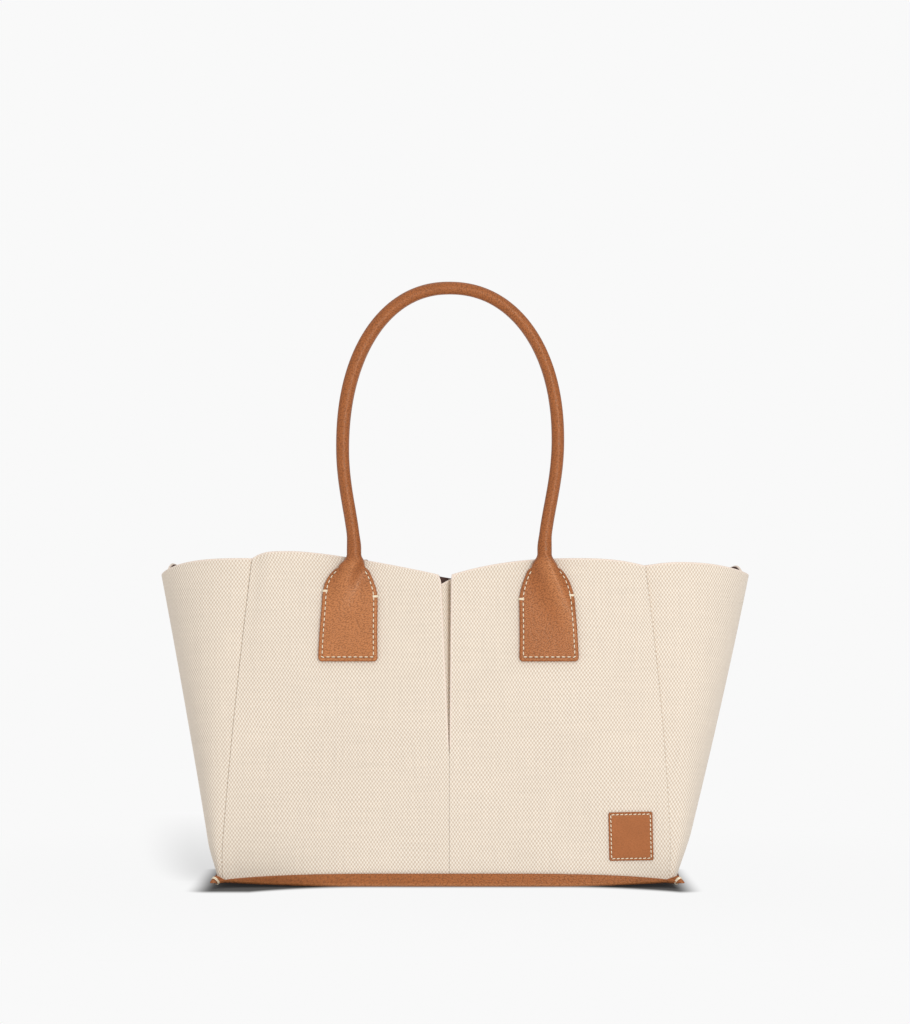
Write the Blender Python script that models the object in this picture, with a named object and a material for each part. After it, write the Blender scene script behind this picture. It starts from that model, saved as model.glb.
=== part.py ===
# An open canvas tote with spread sides, a pleated slit front and back, and leather trim.
# Metres. X runs along the front, Y to the back, Z up. The origin is under the middle of the base.

import math

import bmesh
import bpy
import numpy as np

# Cloth and leather thicknesses, and the clearance between pieces that touch
CLEARANCE = 0.0003
CANVAS = 0.0018
INTERLAYER = 0.0010
LINING = 0.0008
BASE_LEATHER = 0.0018
BOARD = 0.0020

# The body's outline: how far the sides reach out, and half-spans between the seams
BASE_REACH = 0.1849
BASE_SHIFT = 0.0021
LEFT_SPREAD = 0.0500
RIGHT_SPREAD = 0.0636
LEFT_BASE_REACH = BASE_REACH + BASE_SHIFT
RIGHT_BASE_REACH = BASE_REACH - BASE_SHIFT
LEFT_RIM_REACH = LEFT_BASE_REACH + LEFT_SPREAD
RIGHT_RIM_REACH = RIGHT_BASE_REACH + RIGHT_SPREAD
LEFT_SIDE_BULGE = 0.0068
RIGHT_SIDE_BULGE = 0.0083
LEFT_SEAM_LEAN = 0.0236
RIGHT_SEAM_LEAN = 0.0201
LEFT_BASE_SEAM = LEFT_BASE_REACH - LEFT_SIDE_BULGE
RIGHT_BASE_SEAM = RIGHT_BASE_REACH - RIGHT_SIDE_BULGE
LEFT_RIM_SEAM = LEFT_BASE_SEAM - LEFT_SEAM_LEAN
RIGHT_RIM_SEAM = RIGHT_BASE_SEAM - RIGHT_SEAM_LEAN
LEFT_LEAN_POWER = 1.2
RIGHT_LEAN_POWER = 1.6
LEFT_SIDE_SWELL = -0.0004
RIGHT_SIDE_SWELL = 0.0024
LEFT_FOOT_PINCH = 0.0043
RIGHT_FOOT_PINCH = 0.0037
LEFT_PINCH_HEIGHT = 0.0340
RIGHT_PINCH_HEIGHT = 0.0420
SEAM_PINCH_SHARE = 0.40
BASE_SQUARENESS = 3.2
RIM_SQUARENESS = 2.0

# The body's depth from its middle plane to the canvas
BASE_HALF_DEPTH = 0.0700
RIM_HALF_DEPTH = 0.0675
BELLY = 0.0088
PANEL_BOW = 0.0025
CORNER_FLARE = 0.0080
LEFT_SEAM_CURL = 0.0045
RIGHT_SEAM_CURL = 0.0020
CURL_START_SHARE = 0.90

# The scalloped rim: its nominal height, and how far its high and low points lie from that
RIM_HEIGHT = 0.2580
NOTCH_DIP = 0.0120
LEFT_CROWN_RISE = 0.0059
RIGHT_CROWN_RISE = 0.0003
LEFT_SEAM_RISE = 0.0008
RIGHT_SEAM_DIP = 0.0050
SIDE_TIP_DIP = 0.0118
NOTCH_HEIGHT = RIM_HEIGHT - NOTCH_DIP
LEFT_CROWN_HEIGHT = RIM_HEIGHT + LEFT_CROWN_RISE
RIGHT_CROWN_HEIGHT = RIM_HEIGHT + RIGHT_CROWN_RISE
LEFT_SEAM_HEIGHT = RIM_HEIGHT + LEFT_SEAM_RISE
RIGHT_SEAM_HEIGHT = RIM_HEIGHT - RIGHT_SEAM_DIP
SIDE_TIP_HEIGHT = RIM_HEIGHT - SIDE_TIP_DIP
LEFT_SIDE_HUMP = 0.0005
RIGHT_SIDE_HUMP = 0.0040
LEFT_CROWN_SHARE = 0.75
RIGHT_CROWN_SHARE = 0.66
LEFT_RISE_POWER = 1.56
RIGHT_RISE_POWER = 2.50
LEFT_FALL_POWER = 3.3
RIGHT_FALL_POWER = 2.4
SIDE_FALL_POWER = 2.3
LINING_SETBACK = 0.0010

# The slit and the pleat behind it
SLIT_LENGTH = 0.1425
SLIT_FOOT_HEIGHT = NOTCH_HEIGHT - SLIT_LENGTH
LEFT_SLIT_OPENING = 0.0067
RIGHT_SLIT_OPENING = 0.0016
PLEAT_DEPTH = 0.0120
PLEAT_VALLEY_OFFSET = 0.0020
PLEAT_FOLD_WIDTH = 0.0012
PLEAT_HEM = 0.0035
PLEAT_SETBACK = 0.0060

# The base tray: its flat middle, its raised ends and its turned-up edge
BASE_FLAT_HALF_LENGTH = 0.0850
BASE_FLAT_HALF_WIDTH = 0.0330
BASE_END_LIFT = 0.0030
EDGE_HEIGHT = 0.0095
EDGE_END_HEIGHT = 0.0056
EDGE_TURN = 0.0012
EAR_LENGTH = 0.0085
EAR_HALF_WIDTH = 0.0026
BOARD_INSET = 0.0032
LINING_FLOOR_MARGIN = 0.0006

# The tabs sewn to the panels, and the bending necks above them
HANDLE_ROOT_HALF_SPAN = 0.0751
TAB_SPLAY = 0.0037
TAB_TOP_DROP = 0.0065
TAB_LENGTH = 0.0740
TAB_SIDE_LENGTH = 0.0475
TAB_BOTTOM_HALF_WIDTH = 0.0234
TAB_SHOULDER_HALF_WIDTH = 0.0214
TAB_TOP_HALF_WIDTH = 0.0106
TAB_CORNER = 0.0032
TAB_THICKNESS = 0.0030
TAB_TOP_THICKNESS = 0.0096
TAB_RIDGE_WIDTH = 0.0072
TAB_SQUARENESS = 8
TAB_RIDGE_START_SHARE = 0.60
TAB_SHOULDER_ROUND_SHARE = 0.5
TAB_TOP_HEIGHT = RIM_HEIGHT - TAB_TOP_DROP
TAB_BOTTOM_HEIGHT = TAB_TOP_HEIGHT - TAB_LENGTH
TAB_SHOULDER_HEIGHT = TAB_BOTTOM_HEIGHT + TAB_SIDE_LENGTH
TAB_BOTTOM_HALF_SPAN = HANDLE_ROOT_HALF_SPAN + TAB_SPLAY
NECK_LENGTH = 0.0150
NECK_ROUND_SHARE = 0.60
FOLD_LENGTH = 0.0060
FOLD_THICKNESS = 0.0040
FOLD_HALF_WIDTH = 0.0080
CREASE_RISE = 0.0020
CREASE_STANDOFF = 0.0016
CREASE_HEIGHT = TAB_TOP_HEIGHT + CREASE_RISE
BACKING_MARGIN = 0.0030

# The rolled handles
TUBE_RADIUS = 0.0049
ROOT_RADIUS = 0.0057
TUBE_LEATHER = 0.0015
ROOT_FLARE_LENGTH = 0.0120
HANDLE_SPREAD = 0.0097
HANDLE_LEG_LENGTH = 0.0855
HANDLE_ARCH_RISE = 0.1190
HANDLE_SQUARENESS = 2.12
HANDLE_WIDEST_HALF_SPAN = HANDLE_ROOT_HALF_SPAN + HANDLE_SPREAD
HANDLE_ROOT_HEIGHT = TAB_TOP_HEIGHT + NECK_LENGTH
HANDLE_WIDEST_HEIGHT = HANDLE_ROOT_HEIGHT + HANDLE_LEG_LENGTH
HANG_ANGLE = math.radians(178)

# The label patch
PATCH_SEAM_DISTANCE = 0.0318
PATCH_CENTRE_X = RIGHT_BASE_SEAM - PATCH_SEAM_DISTANCE
PATCH_CENTRE_HEIGHT = 0.0402
PATCH_WIDTH = 0.0346
PATCH_HEIGHT = 0.0382
PATCH_THICKNESS = 0.0014
PATCH_CORNER = 0.0015
PATCH_EDGE_ROUND = 0.0004
PATCH_TILT = math.radians(-1.3)

# Where the grids have their lines, as shares of the stretch that they cross
PANEL_COLUMN_SHARES = (0.0, 0.06, 0.2, 0.36, 0.52, 0.68, 0.82, 0.92, 0.97, 1.0)
SIDE_COLUMN_SHARES = (0.0, 0.035, 0.09, 0.17, 0.27, 0.38, 0.5, 0.62, 0.73, 0.83, 0.91, 0.965, 1.0)
BELOW_SLIT_SHARES = (0.3, 0.62)
ABOVE_SLIT_SHARES = (0.25, 0.5, 0.75)
TAB_CORNER_SHARES = (0, 0.12, 0.4, 1)
TAB_SIDE_SHARES = (0.5, 1)
TAB_NECK_SHARES = (0.35, 0.65, 0.85, 1)
NECK_STANDING_SHARES = (0, 0.2, 0.4, 0.6, 1)
NECK_FOLDED_SHARES = (0, 0.08, 0.14, 0.2, 0.26, 0.33, 0.4, 0.6, 1)

# How many steps the round shapes have
SECTION_POINTS = 20
TUBE_SIDES = 12
HANDLE_LOW_STEPS = 6
HANDLE_HIGH_STEPS = 9
PATCH_CORNER_STEPS = 3
BACKING_LINES = 4

LEFT, RIGHT = -1, 1
FRONT, BACK = -1, 1
SIDE_NAMES = {LEFT: "left", RIGHT: "right"}
FACE_NAMES = {FRONT: "front", BACK: "back"}

FORMS = {
    LEFT: dict(
        crown=LEFT_CROWN_HEIGHT,
        seam=LEFT_SEAM_HEIGHT,
        hump=LEFT_SIDE_HUMP,
        crown_share=LEFT_CROWN_SHARE,
        rise_power=LEFT_RISE_POWER,
        fall_power=LEFT_FALL_POWER,
        base_reach=LEFT_BASE_REACH,
        rim_reach=LEFT_RIM_REACH,
        swell=LEFT_SIDE_SWELL,
        pinch=LEFT_FOOT_PINCH,
        pinch_height=LEFT_PINCH_HEIGHT,
        base_seam=LEFT_BASE_SEAM,
        rim_seam=LEFT_RIM_SEAM,
        lean_power=LEFT_LEAN_POWER,
        curl=LEFT_SEAM_CURL,
        opening=LEFT_SLIT_OPENING,
    ),
    RIGHT: dict(
        crown=RIGHT_CROWN_HEIGHT,
        seam=RIGHT_SEAM_HEIGHT,
        hump=RIGHT_SIDE_HUMP,
        crown_share=RIGHT_CROWN_SHARE,
        rise_power=RIGHT_RISE_POWER,
        fall_power=RIGHT_FALL_POWER,
        base_reach=RIGHT_BASE_REACH,
        rim_reach=RIGHT_RIM_REACH,
        swell=RIGHT_SIDE_SWELL,
        pinch=RIGHT_FOOT_PINCH,
        pinch_height=RIGHT_PINCH_HEIGHT,
        base_seam=RIGHT_BASE_SEAM,
        rim_seam=RIGHT_RIM_SEAM,
        lean_power=RIGHT_LEAN_POWER,
        curl=RIGHT_SEAM_CURL,
        opening=RIGHT_SLIT_OPENING,
    ),
}

# Colours as sRGB hex, with roughness
FINISHES = {
    "canvas": ("E7D9C9", 0.90),
    "lining": ("46281E", 0.80),
    "leather": ("A8683F", 0.50),
    "board": ("8A7358", 0.85),
    "cord": ("D9CFBE", 0.90),
    "backing": ("CFC6B8", 0.90),
}


def clear_scene():
    for existing in list(bpy.data.objects):
        bpy.data.objects.remove(existing, do_unlink=True)


def linear(channel):
    if channel <= 0.04045:
        return channel / 12.92
    return ((channel + 0.055) / 1.055) ** 2.4


def finish(name):
    material = bpy.data.materials.get(name)
    if material is None:
        colour, roughness = FINISHES[name]
        channels = [linear(int(colour[i : i + 2], 16) / 255) for i in (0, 2, 4)]
        material = bpy.data.materials.new(name)
        material.use_nodes = True
        shader = material.node_tree.nodes["Principled BSDF"]
        shader.inputs["Base Color"].default_value = (*channels, 1)
        shader.inputs["Roughness"].default_value = roughness
        shader.inputs["Metallic"].default_value = 0
    return material


def add_object(name, vertices, faces, finish_name, parent=None):
    mesh = bpy.data.meshes.new(name)
    mesh.from_pydata(np.asarray(vertices).tolist(), [], faces)
    shape = bmesh.new()
    shape.from_mesh(mesh)
    bmesh.ops.recalc_face_normals(shape, faces=shape.faces)
    shape.to_mesh(mesh)
    shape.free()
    mesh.shade_smooth()
    mesh.set_sharp_from_angle(angle=math.radians(40))
    mesh.materials.append(finish(finish_name))
    made = bpy.data.objects.new(name, mesh)
    bpy.context.scene.collection.objects.link(made)
    made.parent = parent
    return made


def grid_faces(rows, columns, closed=False, first=0):
    # Quads between neighbouring rows; closed joins the last column to the first.
    faces = []
    for row in range(rows - 1):
        for column in range(columns if closed else columns - 1):
            after = (column + 1) % columns
            here, above = first + row * columns, first + (row + 1) * columns
            faces.append((here + column, here + after, above + after, above + column))
    return faces


def shell(name, outer, inner, finish_name):
    # A sheet between two grids of the same size, closed along its four edges.
    rows, columns = outer.shape[:2]
    count = rows * columns
    faces = grid_faces(rows, columns) + grid_faces(rows, columns, first=count)
    border = [column for column in range(columns)]
    border += [row * columns + columns - 1 for row in range(1, rows)]
    border += [(rows - 1) * columns + column for column in range(columns - 2, -1, -1)]
    border += [row * columns for row in range(rows - 2, 0, -1)]
    for here, after in zip(border, border[1:] + border[:1]):
        faces.append((here, after, after + count, here + count))
    vertices = np.concatenate([outer.reshape(-1, 3), inner.reshape(-1, 3)])
    return add_object(name, vertices, faces, finish_name)


def loft(name, loops, finish_name, parent=None):
    # Closed loops of points joined in turn, with a flat face over the first and the last.
    loops = np.asarray(loops)
    rows, columns = loops.shape[:2]
    faces = grid_faces(rows, columns, closed=True)
    faces.append(tuple(range(columns)))
    faces.append(tuple((rows - 1) * columns + column for column in range(columns)))
    return add_object(name, loops.reshape(-1, 3), faces, finish_name, parent)


def tube_shell(name, outer, inner, finish_name, parent=None):
    # A hollow tube: the outer rings out and the inner rings back, joined at both ends.
    rings = np.concatenate([outer, inner[::-1], outer[:1]])
    rows, columns = rings.shape[:2]
    faces = grid_faces(rows, columns, closed=True)
    last = (rows - 1) * columns
    faces = [tuple(index % last for index in face) for face in faces]
    return add_object(name, rings[:-1].reshape(-1, 3), faces, finish_name, parent)


def mix(start, end, share):
    return start + (end - start) * share


def smooth_step(share):
    share = np.clip(share, 0, 1)
    return share * share * (3 - 2 * share)


def foot_pinch(side, z):
    # How far the tray draws the foot of a side in.
    form = FORMS[side]
    return form["pinch"] * (1 - smooth_step(z / form["pinch_height"]))


def seam_span(side, z):
    # Slit to seam: upright at the base, then leaning in.
    form = FORMS[side]
    share = np.clip(z / RIM_HEIGHT, 0, None) ** form["lean_power"]
    return mix(form["base_seam"], form["rim_seam"], share) - SEAM_PINCH_SHARE * foot_pinch(side, z)


def side_reach(side, z):
    form = FORMS[side]
    share = z / RIM_HEIGHT
    swell = form["swell"] * 4 * share * (1 - share)
    return mix(form["base_reach"], form["rim_reach"], share) + swell - foot_pinch(side, z)


def half_depth(x, z):
    # Middle plane to canvas: a belly low down, flared base corners, edges curled in at the seams.
    up = z / RIM_HEIGHT
    across = np.abs(x) / np.where(x < 0, seam_span(LEFT, z), seam_span(RIGHT, z))
    wall = mix(BASE_HALF_DEPTH, RIM_HALF_DEPTH, up) + BELLY * 4 * up * (1 - up)
    bow = PANEL_BOW * (1 - across**2)
    flare = CORNER_FLARE * across**4 * np.clip(1 - up, 0, None) ** 3
    curl = np.where(x < 0, LEFT_SEAM_CURL, RIGHT_SEAM_CURL) * up**2
    curled = smooth_step((across - CURL_START_SHARE) / (1 - CURL_START_SHARE))
    return wall + bow + flare - curl * curled


def slit_edge(side, z):
    # The panel's middle edge: along the centre seam, then leaning away above the slit's foot.
    share = np.clip((z - SLIT_FOOT_HEIGHT) / (NOTCH_HEIGHT - SLIT_FOOT_HEIGHT), 0, None)
    return CLEARANCE / 2 + FORMS[side]["opening"] * share


def panel_rim(side, share):
    # Rim height from the slit (0) to the seam (1): up to the crown, then down.
    rim = FORMS[side]
    rise = 1 - (1 - np.clip(share / rim["crown_share"], 0, 1)) ** rim["rise_power"]
    past = np.clip((share - rim["crown_share"]) / (1 - rim["crown_share"]), 0, 1)
    fall = past ** rim["fall_power"]
    climb = (rim["crown"] - NOTCH_HEIGHT) * rise
    return NOTCH_HEIGHT + climb - (rim["crown"] - rim["seam"]) * fall


def side_rim(side, share):
    # Rim height from the front seam (0) over the outermost tip (0.5) to the back seam (1).
    rim = FORMS[side]
    out = 1 - np.abs(1 - 2 * share)
    fall = (rim["seam"] - SIDE_TIP_HEIGHT) * out**SIDE_FALL_POWER
    return rim["seam"] + rim["hump"] * np.sin(np.pi * out) - fall


def base_end(x):
    return np.where(np.asarray(x) < 0, LEFT_BASE_REACH, RIGHT_BASE_REACH)


def base_lift(x):
    past = np.clip(np.abs(x) - BASE_FLAT_HALF_LENGTH, 0, None)
    return BASE_END_LIFT * (past / (base_end(x) - BASE_FLAT_HALF_LENGTH)) ** 2


def edge_height(x):
    return mix(EDGE_HEIGHT, EDGE_END_HEIGHT, np.clip(np.abs(x) / base_end(x), 0, 1) ** 4)


def wall_foot(x):
    return BASE_LEATHER + CLEARANCE + base_lift(x)


def height_shares():
    # Row lines: one above the tray's edge, one at the slit's foot, and a few between.
    foot = BASE_LEATHER + CLEARANCE
    rise = NOTCH_HEIGHT - foot
    edge = (EDGE_HEIGHT + CLEARANCE - foot) / rise
    slit = (SLIT_FOOT_HEIGHT - foot) / rise
    below = [mix(edge, slit, share) for share in BELOW_SLIT_SHARES]
    above = [mix(slit, 1, share) for share in ABOVE_SLIT_SHARES]
    return np.array([0, edge, *below, slit, *above, 1])[:, None]


def panel_grid(face, side, foot_inset, inset, setback=0):
    # One half of the front or back, at an inset from the canvas's outer surface.
    columns = np.array(PANEL_COLUMN_SHARES)[None, :]
    top = panel_rim(side, columns) - setback
    foot = wall_foot(side * FORMS[side]["base_seam"] * columns) + foot_inset
    z = mix(foot, top, height_shares())
    seam = seam_span(side, z) - CLEARANCE / 2
    x = side * mix(slit_edge(side, z), seam, columns)
    return np.stack([x, face * (half_depth(x, z) - inset), z], axis=-1)


def make_panels(face):
    for side in (LEFT, RIGHT):
        outer = panel_grid(face, side, 0, 0)
        inner = panel_grid(face, side, 0, CANVAS)
        shell(f"{FACE_NAMES[face]}_panel_{SIDE_NAMES[side]}", outer, inner, "canvas")


def side_grid(side, foot_inset, inset, setback=0):
    # A side, from the front seam round its outermost line to the back seam, as part of a superellipse
    # with semi-axes (reach - seam, half depth) in plan, squarer at the base.
    columns = np.array(SIDE_COLUMN_SHARES)[None, :]
    top = side_rim(side, columns) - setback
    foot = wall_foot(side * side_reach(side, 0)) + foot_inset
    z = mix(foot, top, height_shares())
    power = 2 / mix(BASE_SQUARENESS, RIM_SQUARENESS, np.clip(z / RIM_HEIGHT, 0, 1))
    seam = seam_span(side, z) + CLEARANCE / 2
    across = side_reach(side, z) - seam - inset
    deep = half_depth(side * seam_span(side, z), z) - inset
    turn = np.pi * columns
    cosine = np.cos(turn)
    x = side * (seam + across * np.clip(np.sin(turn), 0, None) ** power)
    y = -deep * np.sign(cosine) * np.abs(cosine) ** power
    return np.stack([x, y, z], axis=-1)


def make_sides():
    for side in (LEFT, RIGHT):
        outer = side_grid(side, 0, 0)
        inner = side_grid(side, 0, CANVAS)
        shell(f"side_panel_{SIDE_NAMES[side]}", outer, inner, "canvas")


def lining_inset():
    return CANVAS + CLEARANCE + INTERLAYER + CLEARANCE


def lining_foot():
    # How far the lining's walls stand above the canvas's foot: they start over the board.
    return BOARD + CLEARANCE


def offset_path(points, distance):
    # Moves a plan path sideways by a distance, to its left, with mitred corners.
    along = np.diff(points, axis=0)
    along /= np.linalg.norm(along, axis=1, keepdims=True)
    normals = np.stack([-along[:, 1], along[:, 0]], axis=1)
    before = np.concatenate([normals[:1], normals])
    after = np.concatenate([normals, normals[-1:]])
    middle = before + after
    middle /= np.linalg.norm(middle, axis=1, keepdims=True)
    reach = distance / np.sum(middle * before, axis=1, keepdims=True)
    return points + middle * reach


def pleat_path(z):
    # The fold's plan path behind the front's middle: a hem behind the left half's edge, the two
    # flanks that meet at a narrow fold deeper in, and a hem behind the right half's edge.
    open_share = (z - SLIT_FOOT_HEIGHT) / (NOTCH_HEIGHT - SLIT_FOOT_HEIGHT)
    depth = PLEAT_DEPTH * open_share
    left, right = -slit_edge(LEFT, z), slit_edge(RIGHT, z)
    middle = PLEAT_VALLEY_OFFSET * open_share
    fold = PLEAT_FOLD_WIDTH / 2
    wall = -(half_depth(0, z) - CANVAS - CLEARANCE)
    return np.array(
        [
            (left - PLEAT_HEM, wall),
            (left - fold, wall),
            (middle - fold, wall + depth),
            (middle + fold, wall + depth),
            (right + fold, wall),
            (right + PLEAT_HEM, wall),
        ]
    )


def turned(plan, face):
    # The back's plan is the front's, mirrored front to back.
    return plan * np.array((1, -face))


def pleat_heights(top_setback):
    foot = SLIT_FOOT_HEIGHT
    top = NOTCH_HEIGHT - top_setback
    return [mix(foot, top, share) for share in (0, *ABOVE_SLIT_SHARES, 1)]


def make_pleat(face):
    grids = []
    for distance in (0, INTERLAYER):
        rows = []
        for z in pleat_heights(PLEAT_SETBACK):
            plan = turned(offset_path(pleat_path(z), distance), face)
            rows.append([(x, y, z) for x, y in plan])
        grids.append(np.array(rows))
    shell(f"{FACE_NAMES[face]}_pleat_gusset", grids[0], grids[1], "canvas")


def lining_middle(z):
    # The lining's plan path round the pleat. Below the slit it runs straight past.
    wall = -(half_depth(0, z) - lining_inset())
    if z <= SLIT_FOOT_HEIGHT:
        path = pleat_path(SLIT_FOOT_HEIGHT)
        return np.stack([path[:, 0], np.full(len(path), wall)], axis=1)
    return offset_path(pleat_path(z), INTERLAYER + CLEARANCE)


def lining_rows(face, inset_past):
    # Full-width rows of the front or back lining: left half, the way round the pleat, right half.
    inset = lining_inset() + inset_past
    left_half = panel_grid(face, LEFT, lining_foot(), inset, LINING_SETBACK)[:, 1:]
    right_half = panel_grid(face, RIGHT, lining_foot(), inset, LINING_SETBACK)[:, 1:]
    rows = []
    for left, right in zip(left_half, right_half):
        z = (left[0, 2] + right[0, 2]) / 2
        path = lining_middle(z)
        if inset_past:
            path = offset_path(path, inset_past)
        middle = [(x, y, z) for x, y in turned(path, face)]
        rows.append(np.concatenate([left[::-1], middle, right]))
    return np.array(rows)


def make_linings():
    for face in (FRONT, BACK):
        shell(f"{FACE_NAMES[face]}_lining", lining_rows(face, 0), lining_rows(face, LINING), "lining")
    for side in (LEFT, RIGHT):
        outer = side_grid(side, lining_foot(), lining_inset(), LINING_SETBACK)
        inner = side_grid(side, lining_foot(), lining_inset() + LINING, LINING_SETBACK)
        shell(f"{SIDE_NAMES[side]}_lining", outer, inner, "lining")


def plan_loop(height, inset):
    # The body's closed outline, from the front's middle anticlockwise, as points (x, y, z) at the
    # height given for each x.
    shares = np.array(PANEL_COLUMN_SHARES)
    turn = np.pi * np.array(SIDE_COLUMN_SHARES)
    cosine = np.cos(turn)
    sine = np.clip(np.sin(turn), 0, None)
    stretches = []
    for side, first_face in ((RIGHT, FRONT), (LEFT, BACK)):
        form = FORMS[side]
        z = height(side * form["base_seam"] * shares)
        x = side * seam_span(side, z) * shares
        y = first_face * (half_depth(x, z) - inset)
        stretches.append(np.column_stack([x, y, z])[:-1])
        z = height(side * mix(form["base_seam"], form["base_reach"], sine))
        power = 2 / mix(BASE_SQUARENESS, RIM_SQUARENESS, z / RIM_HEIGHT)
        across = side_reach(side, z) - seam_span(side, z) - inset
        deep = half_depth(side * seam_span(side, z), z) - inset
        bend_x = side * (seam_span(side, z) + across * sine**power)
        bend_y = first_face * deep * np.sign(cosine) * np.abs(cosine) ** power
        stretches.append(np.column_stack([bend_x, bend_y, z]))
        stretches.append((np.column_stack([x, -y, height(x)]))[::-1][1:-1])
    return np.concatenate(stretches)


def corner_indices(loop):
    # The four points of a plan loop that lie furthest out along its diagonals.
    diagonals = np.array([(1, -1), (1, 1), (-1, 1), (-1, -1)])
    return [int(np.argmax(loop[:, :2] @ diagonal)) for diagonal in diagonals]


def toward(point, neighbour):
    # The ear's root: a step along the loop's side, half-way along it at most.
    side = neighbour - point
    return point + side * min(EAR_HALF_WIDTH / np.linalg.norm(side), 1 / 2)


def eared(loop, corners, pull):
    # Each corner point becomes an ear: its two roots, and a tip drawn out between them.
    points = []
    for index, point in enumerate(loop):
        if index not in corners:
            points.append(point)
            continue
        out = np.array([np.sign(point[0]), np.sign(point[1]), 0]) / math.sqrt(2)
        before, after = loop[index - 1], loop[(index + 1) % len(loop)]
        points += [toward(point, before), point + out * pull, toward(point, after)]
    return points


def scaled_plan(loop, shares, height):
    plan = loop * np.array([*shares, 1])
    plan[:, 2] = height(plan[:, 0])
    return plan


def make_base():
    # Loops run from the underside's flat middle out to the edge, up the turned edge and back inside.
    def floor_top(x):
        return base_lift(x) + BASE_LEATHER

    def turn_top(x):
        return base_lift(x) + EDGE_TURN

    def edge_middle(x):
        return (base_lift(x) + edge_height(x)) / 2

    outside = -CLEARANCE - BASE_LEATHER
    flat_shares = (BASE_FLAT_HALF_LENGTH / BASE_REACH, BASE_FLAT_HALF_WIDTH / BASE_HALF_DEPTH)
    underside = plan_loop(base_lift, outside + EDGE_TURN)
    inside = plan_loop(floor_top, -CLEARANCE)
    corners = corner_indices(underside)
    stages = (
        (scaled_plan(underside, flat_shares, base_lift), 0),
        (scaled_plan(underside, np.add(flat_shares, 1) / 2, base_lift), 0),
        (underside, 0),
        (plan_loop(turn_top, outside), EAR_LENGTH / 2),
        (plan_loop(edge_middle, outside), EAR_LENGTH),
        (plan_loop(edge_height, outside), EAR_LENGTH / 4),
        (plan_loop(edge_height, -CLEARANCE), 0),
        (inside, 0),
        (scaled_plan(inside, np.add(flat_shares, 1) / 2, floor_top), 0),
        (scaled_plan(inside, flat_shares, floor_top), 0),
    )
    loft("base_leather", [eared(plan, corners, pull) for plan, pull in stages], "leather")


def floor_slab(name, inset, foot, thickness, finish_name):
    # A sheet over the tray's floor, bent up with it towards the ends.
    def lower(x):
        return base_lift(x) + foot

    def upper(x):
        return base_lift(x) + foot + thickness

    flat_shares = (BASE_FLAT_HALF_LENGTH / BASE_REACH, BASE_FLAT_HALF_WIDTH / BASE_HALF_DEPTH)
    half_shares = np.add(flat_shares, 1) / 2
    outline = plan_loop(lower, inset)
    top = outline + np.array([0, 0, thickness])
    loops = (
        scaled_plan(outline, flat_shares, lower),
        scaled_plan(outline, half_shares, lower),
        outline,
        top,
        scaled_plan(outline, half_shares, upper),
        scaled_plan(outline, flat_shares, upper),
    )
    loft(name, loops, finish_name)


def make_floor():
    board_foot = BASE_LEATHER + CLEARANCE
    lining_floor = board_foot + BOARD + CLEARANCE
    floor_slab("base_board", BOARD_INSET, board_foot, BOARD, "board")
    inset = lining_inset() + LINING + LINING_FLOOR_MARGIN
    floor_slab("lining_floor", inset, lining_floor, LINING, "lining")


def tab_outline(z):
    # Half-width and centre of a tab at a height: straight sides, then shoulders closing on the neck.
    climb = (z - TAB_BOTTOM_HEIGHT) / (TAB_SHOULDER_HEIGHT - TAB_BOTTOM_HEIGHT)
    low = mix(TAB_BOTTOM_HALF_WIDTH, TAB_SHOULDER_HALF_WIDTH, climb)
    past = max(z - TAB_SHOULDER_HEIGHT, 0) / (TAB_TOP_HEIGHT - TAB_SHOULDER_HEIGHT)
    width = min(low, TAB_SHOULDER_HALF_WIDTH) if past else low
    round_off = 1 - math.sqrt(max(1 - past**2, 0))
    width = mix(width, TAB_TOP_HALF_WIDTH, mix(past**2, round_off, TAB_SHOULDER_ROUND_SHARE))
    corner = max(TAB_BOTTOM_HEIGHT + TAB_CORNER - z, 0) / TAB_CORNER
    width -= TAB_CORNER * (1 - math.sqrt(max(1 - corner**2, 0)))
    centre_share = (z - TAB_BOTTOM_HEIGHT) / (TAB_TOP_HEIGHT - TAB_BOTTOM_HEIGHT)
    return width, mix(TAB_BOTTOM_HALF_SPAN, HANDLE_ROOT_HALF_SPAN, centre_share**2)


def section(half_width, edge, ridge, squareness):
    # Cross-section points (across, out): a flat strap of the edge thickness with a rounded ridge on
    # its outer side. With squareness 2, and edge and ridge both its width, it is a circle.
    turn = np.arange(SECTION_POINTS) * 2 * np.pi / SECTION_POINTS
    across = np.cos(turn)
    half = edge / 2 * (1 - np.abs(across) ** squareness) ** (1 / squareness)
    upper = np.sin(turn) > 0
    hump = (ridge - edge) * np.exp(-((across * half_width / TAB_RIDGE_WIDTH) ** 2))
    out = edge / 2 + np.where(upper, half + hump * half / (edge / 2), -half)
    return np.stack([across * half_width, out], axis=1)


def handle_plane(z):
    # Distance from the bag's middle plane to the leather's back, where it lies on the panel.
    return half_depth(HANDLE_ROOT_HALF_SPAN, min(z, TAB_TOP_HEIGHT)) + CLEARANCE


def tube_centre():
    return handle_plane(TAB_TOP_HEIGHT) + ROOT_RADIUS


def crease_distance():
    # Distance from the middle plane to the line that the handle swings about: just outside the neck.
    return tube_centre() + ROOT_RADIUS + CREASE_STANDOFF


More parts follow.
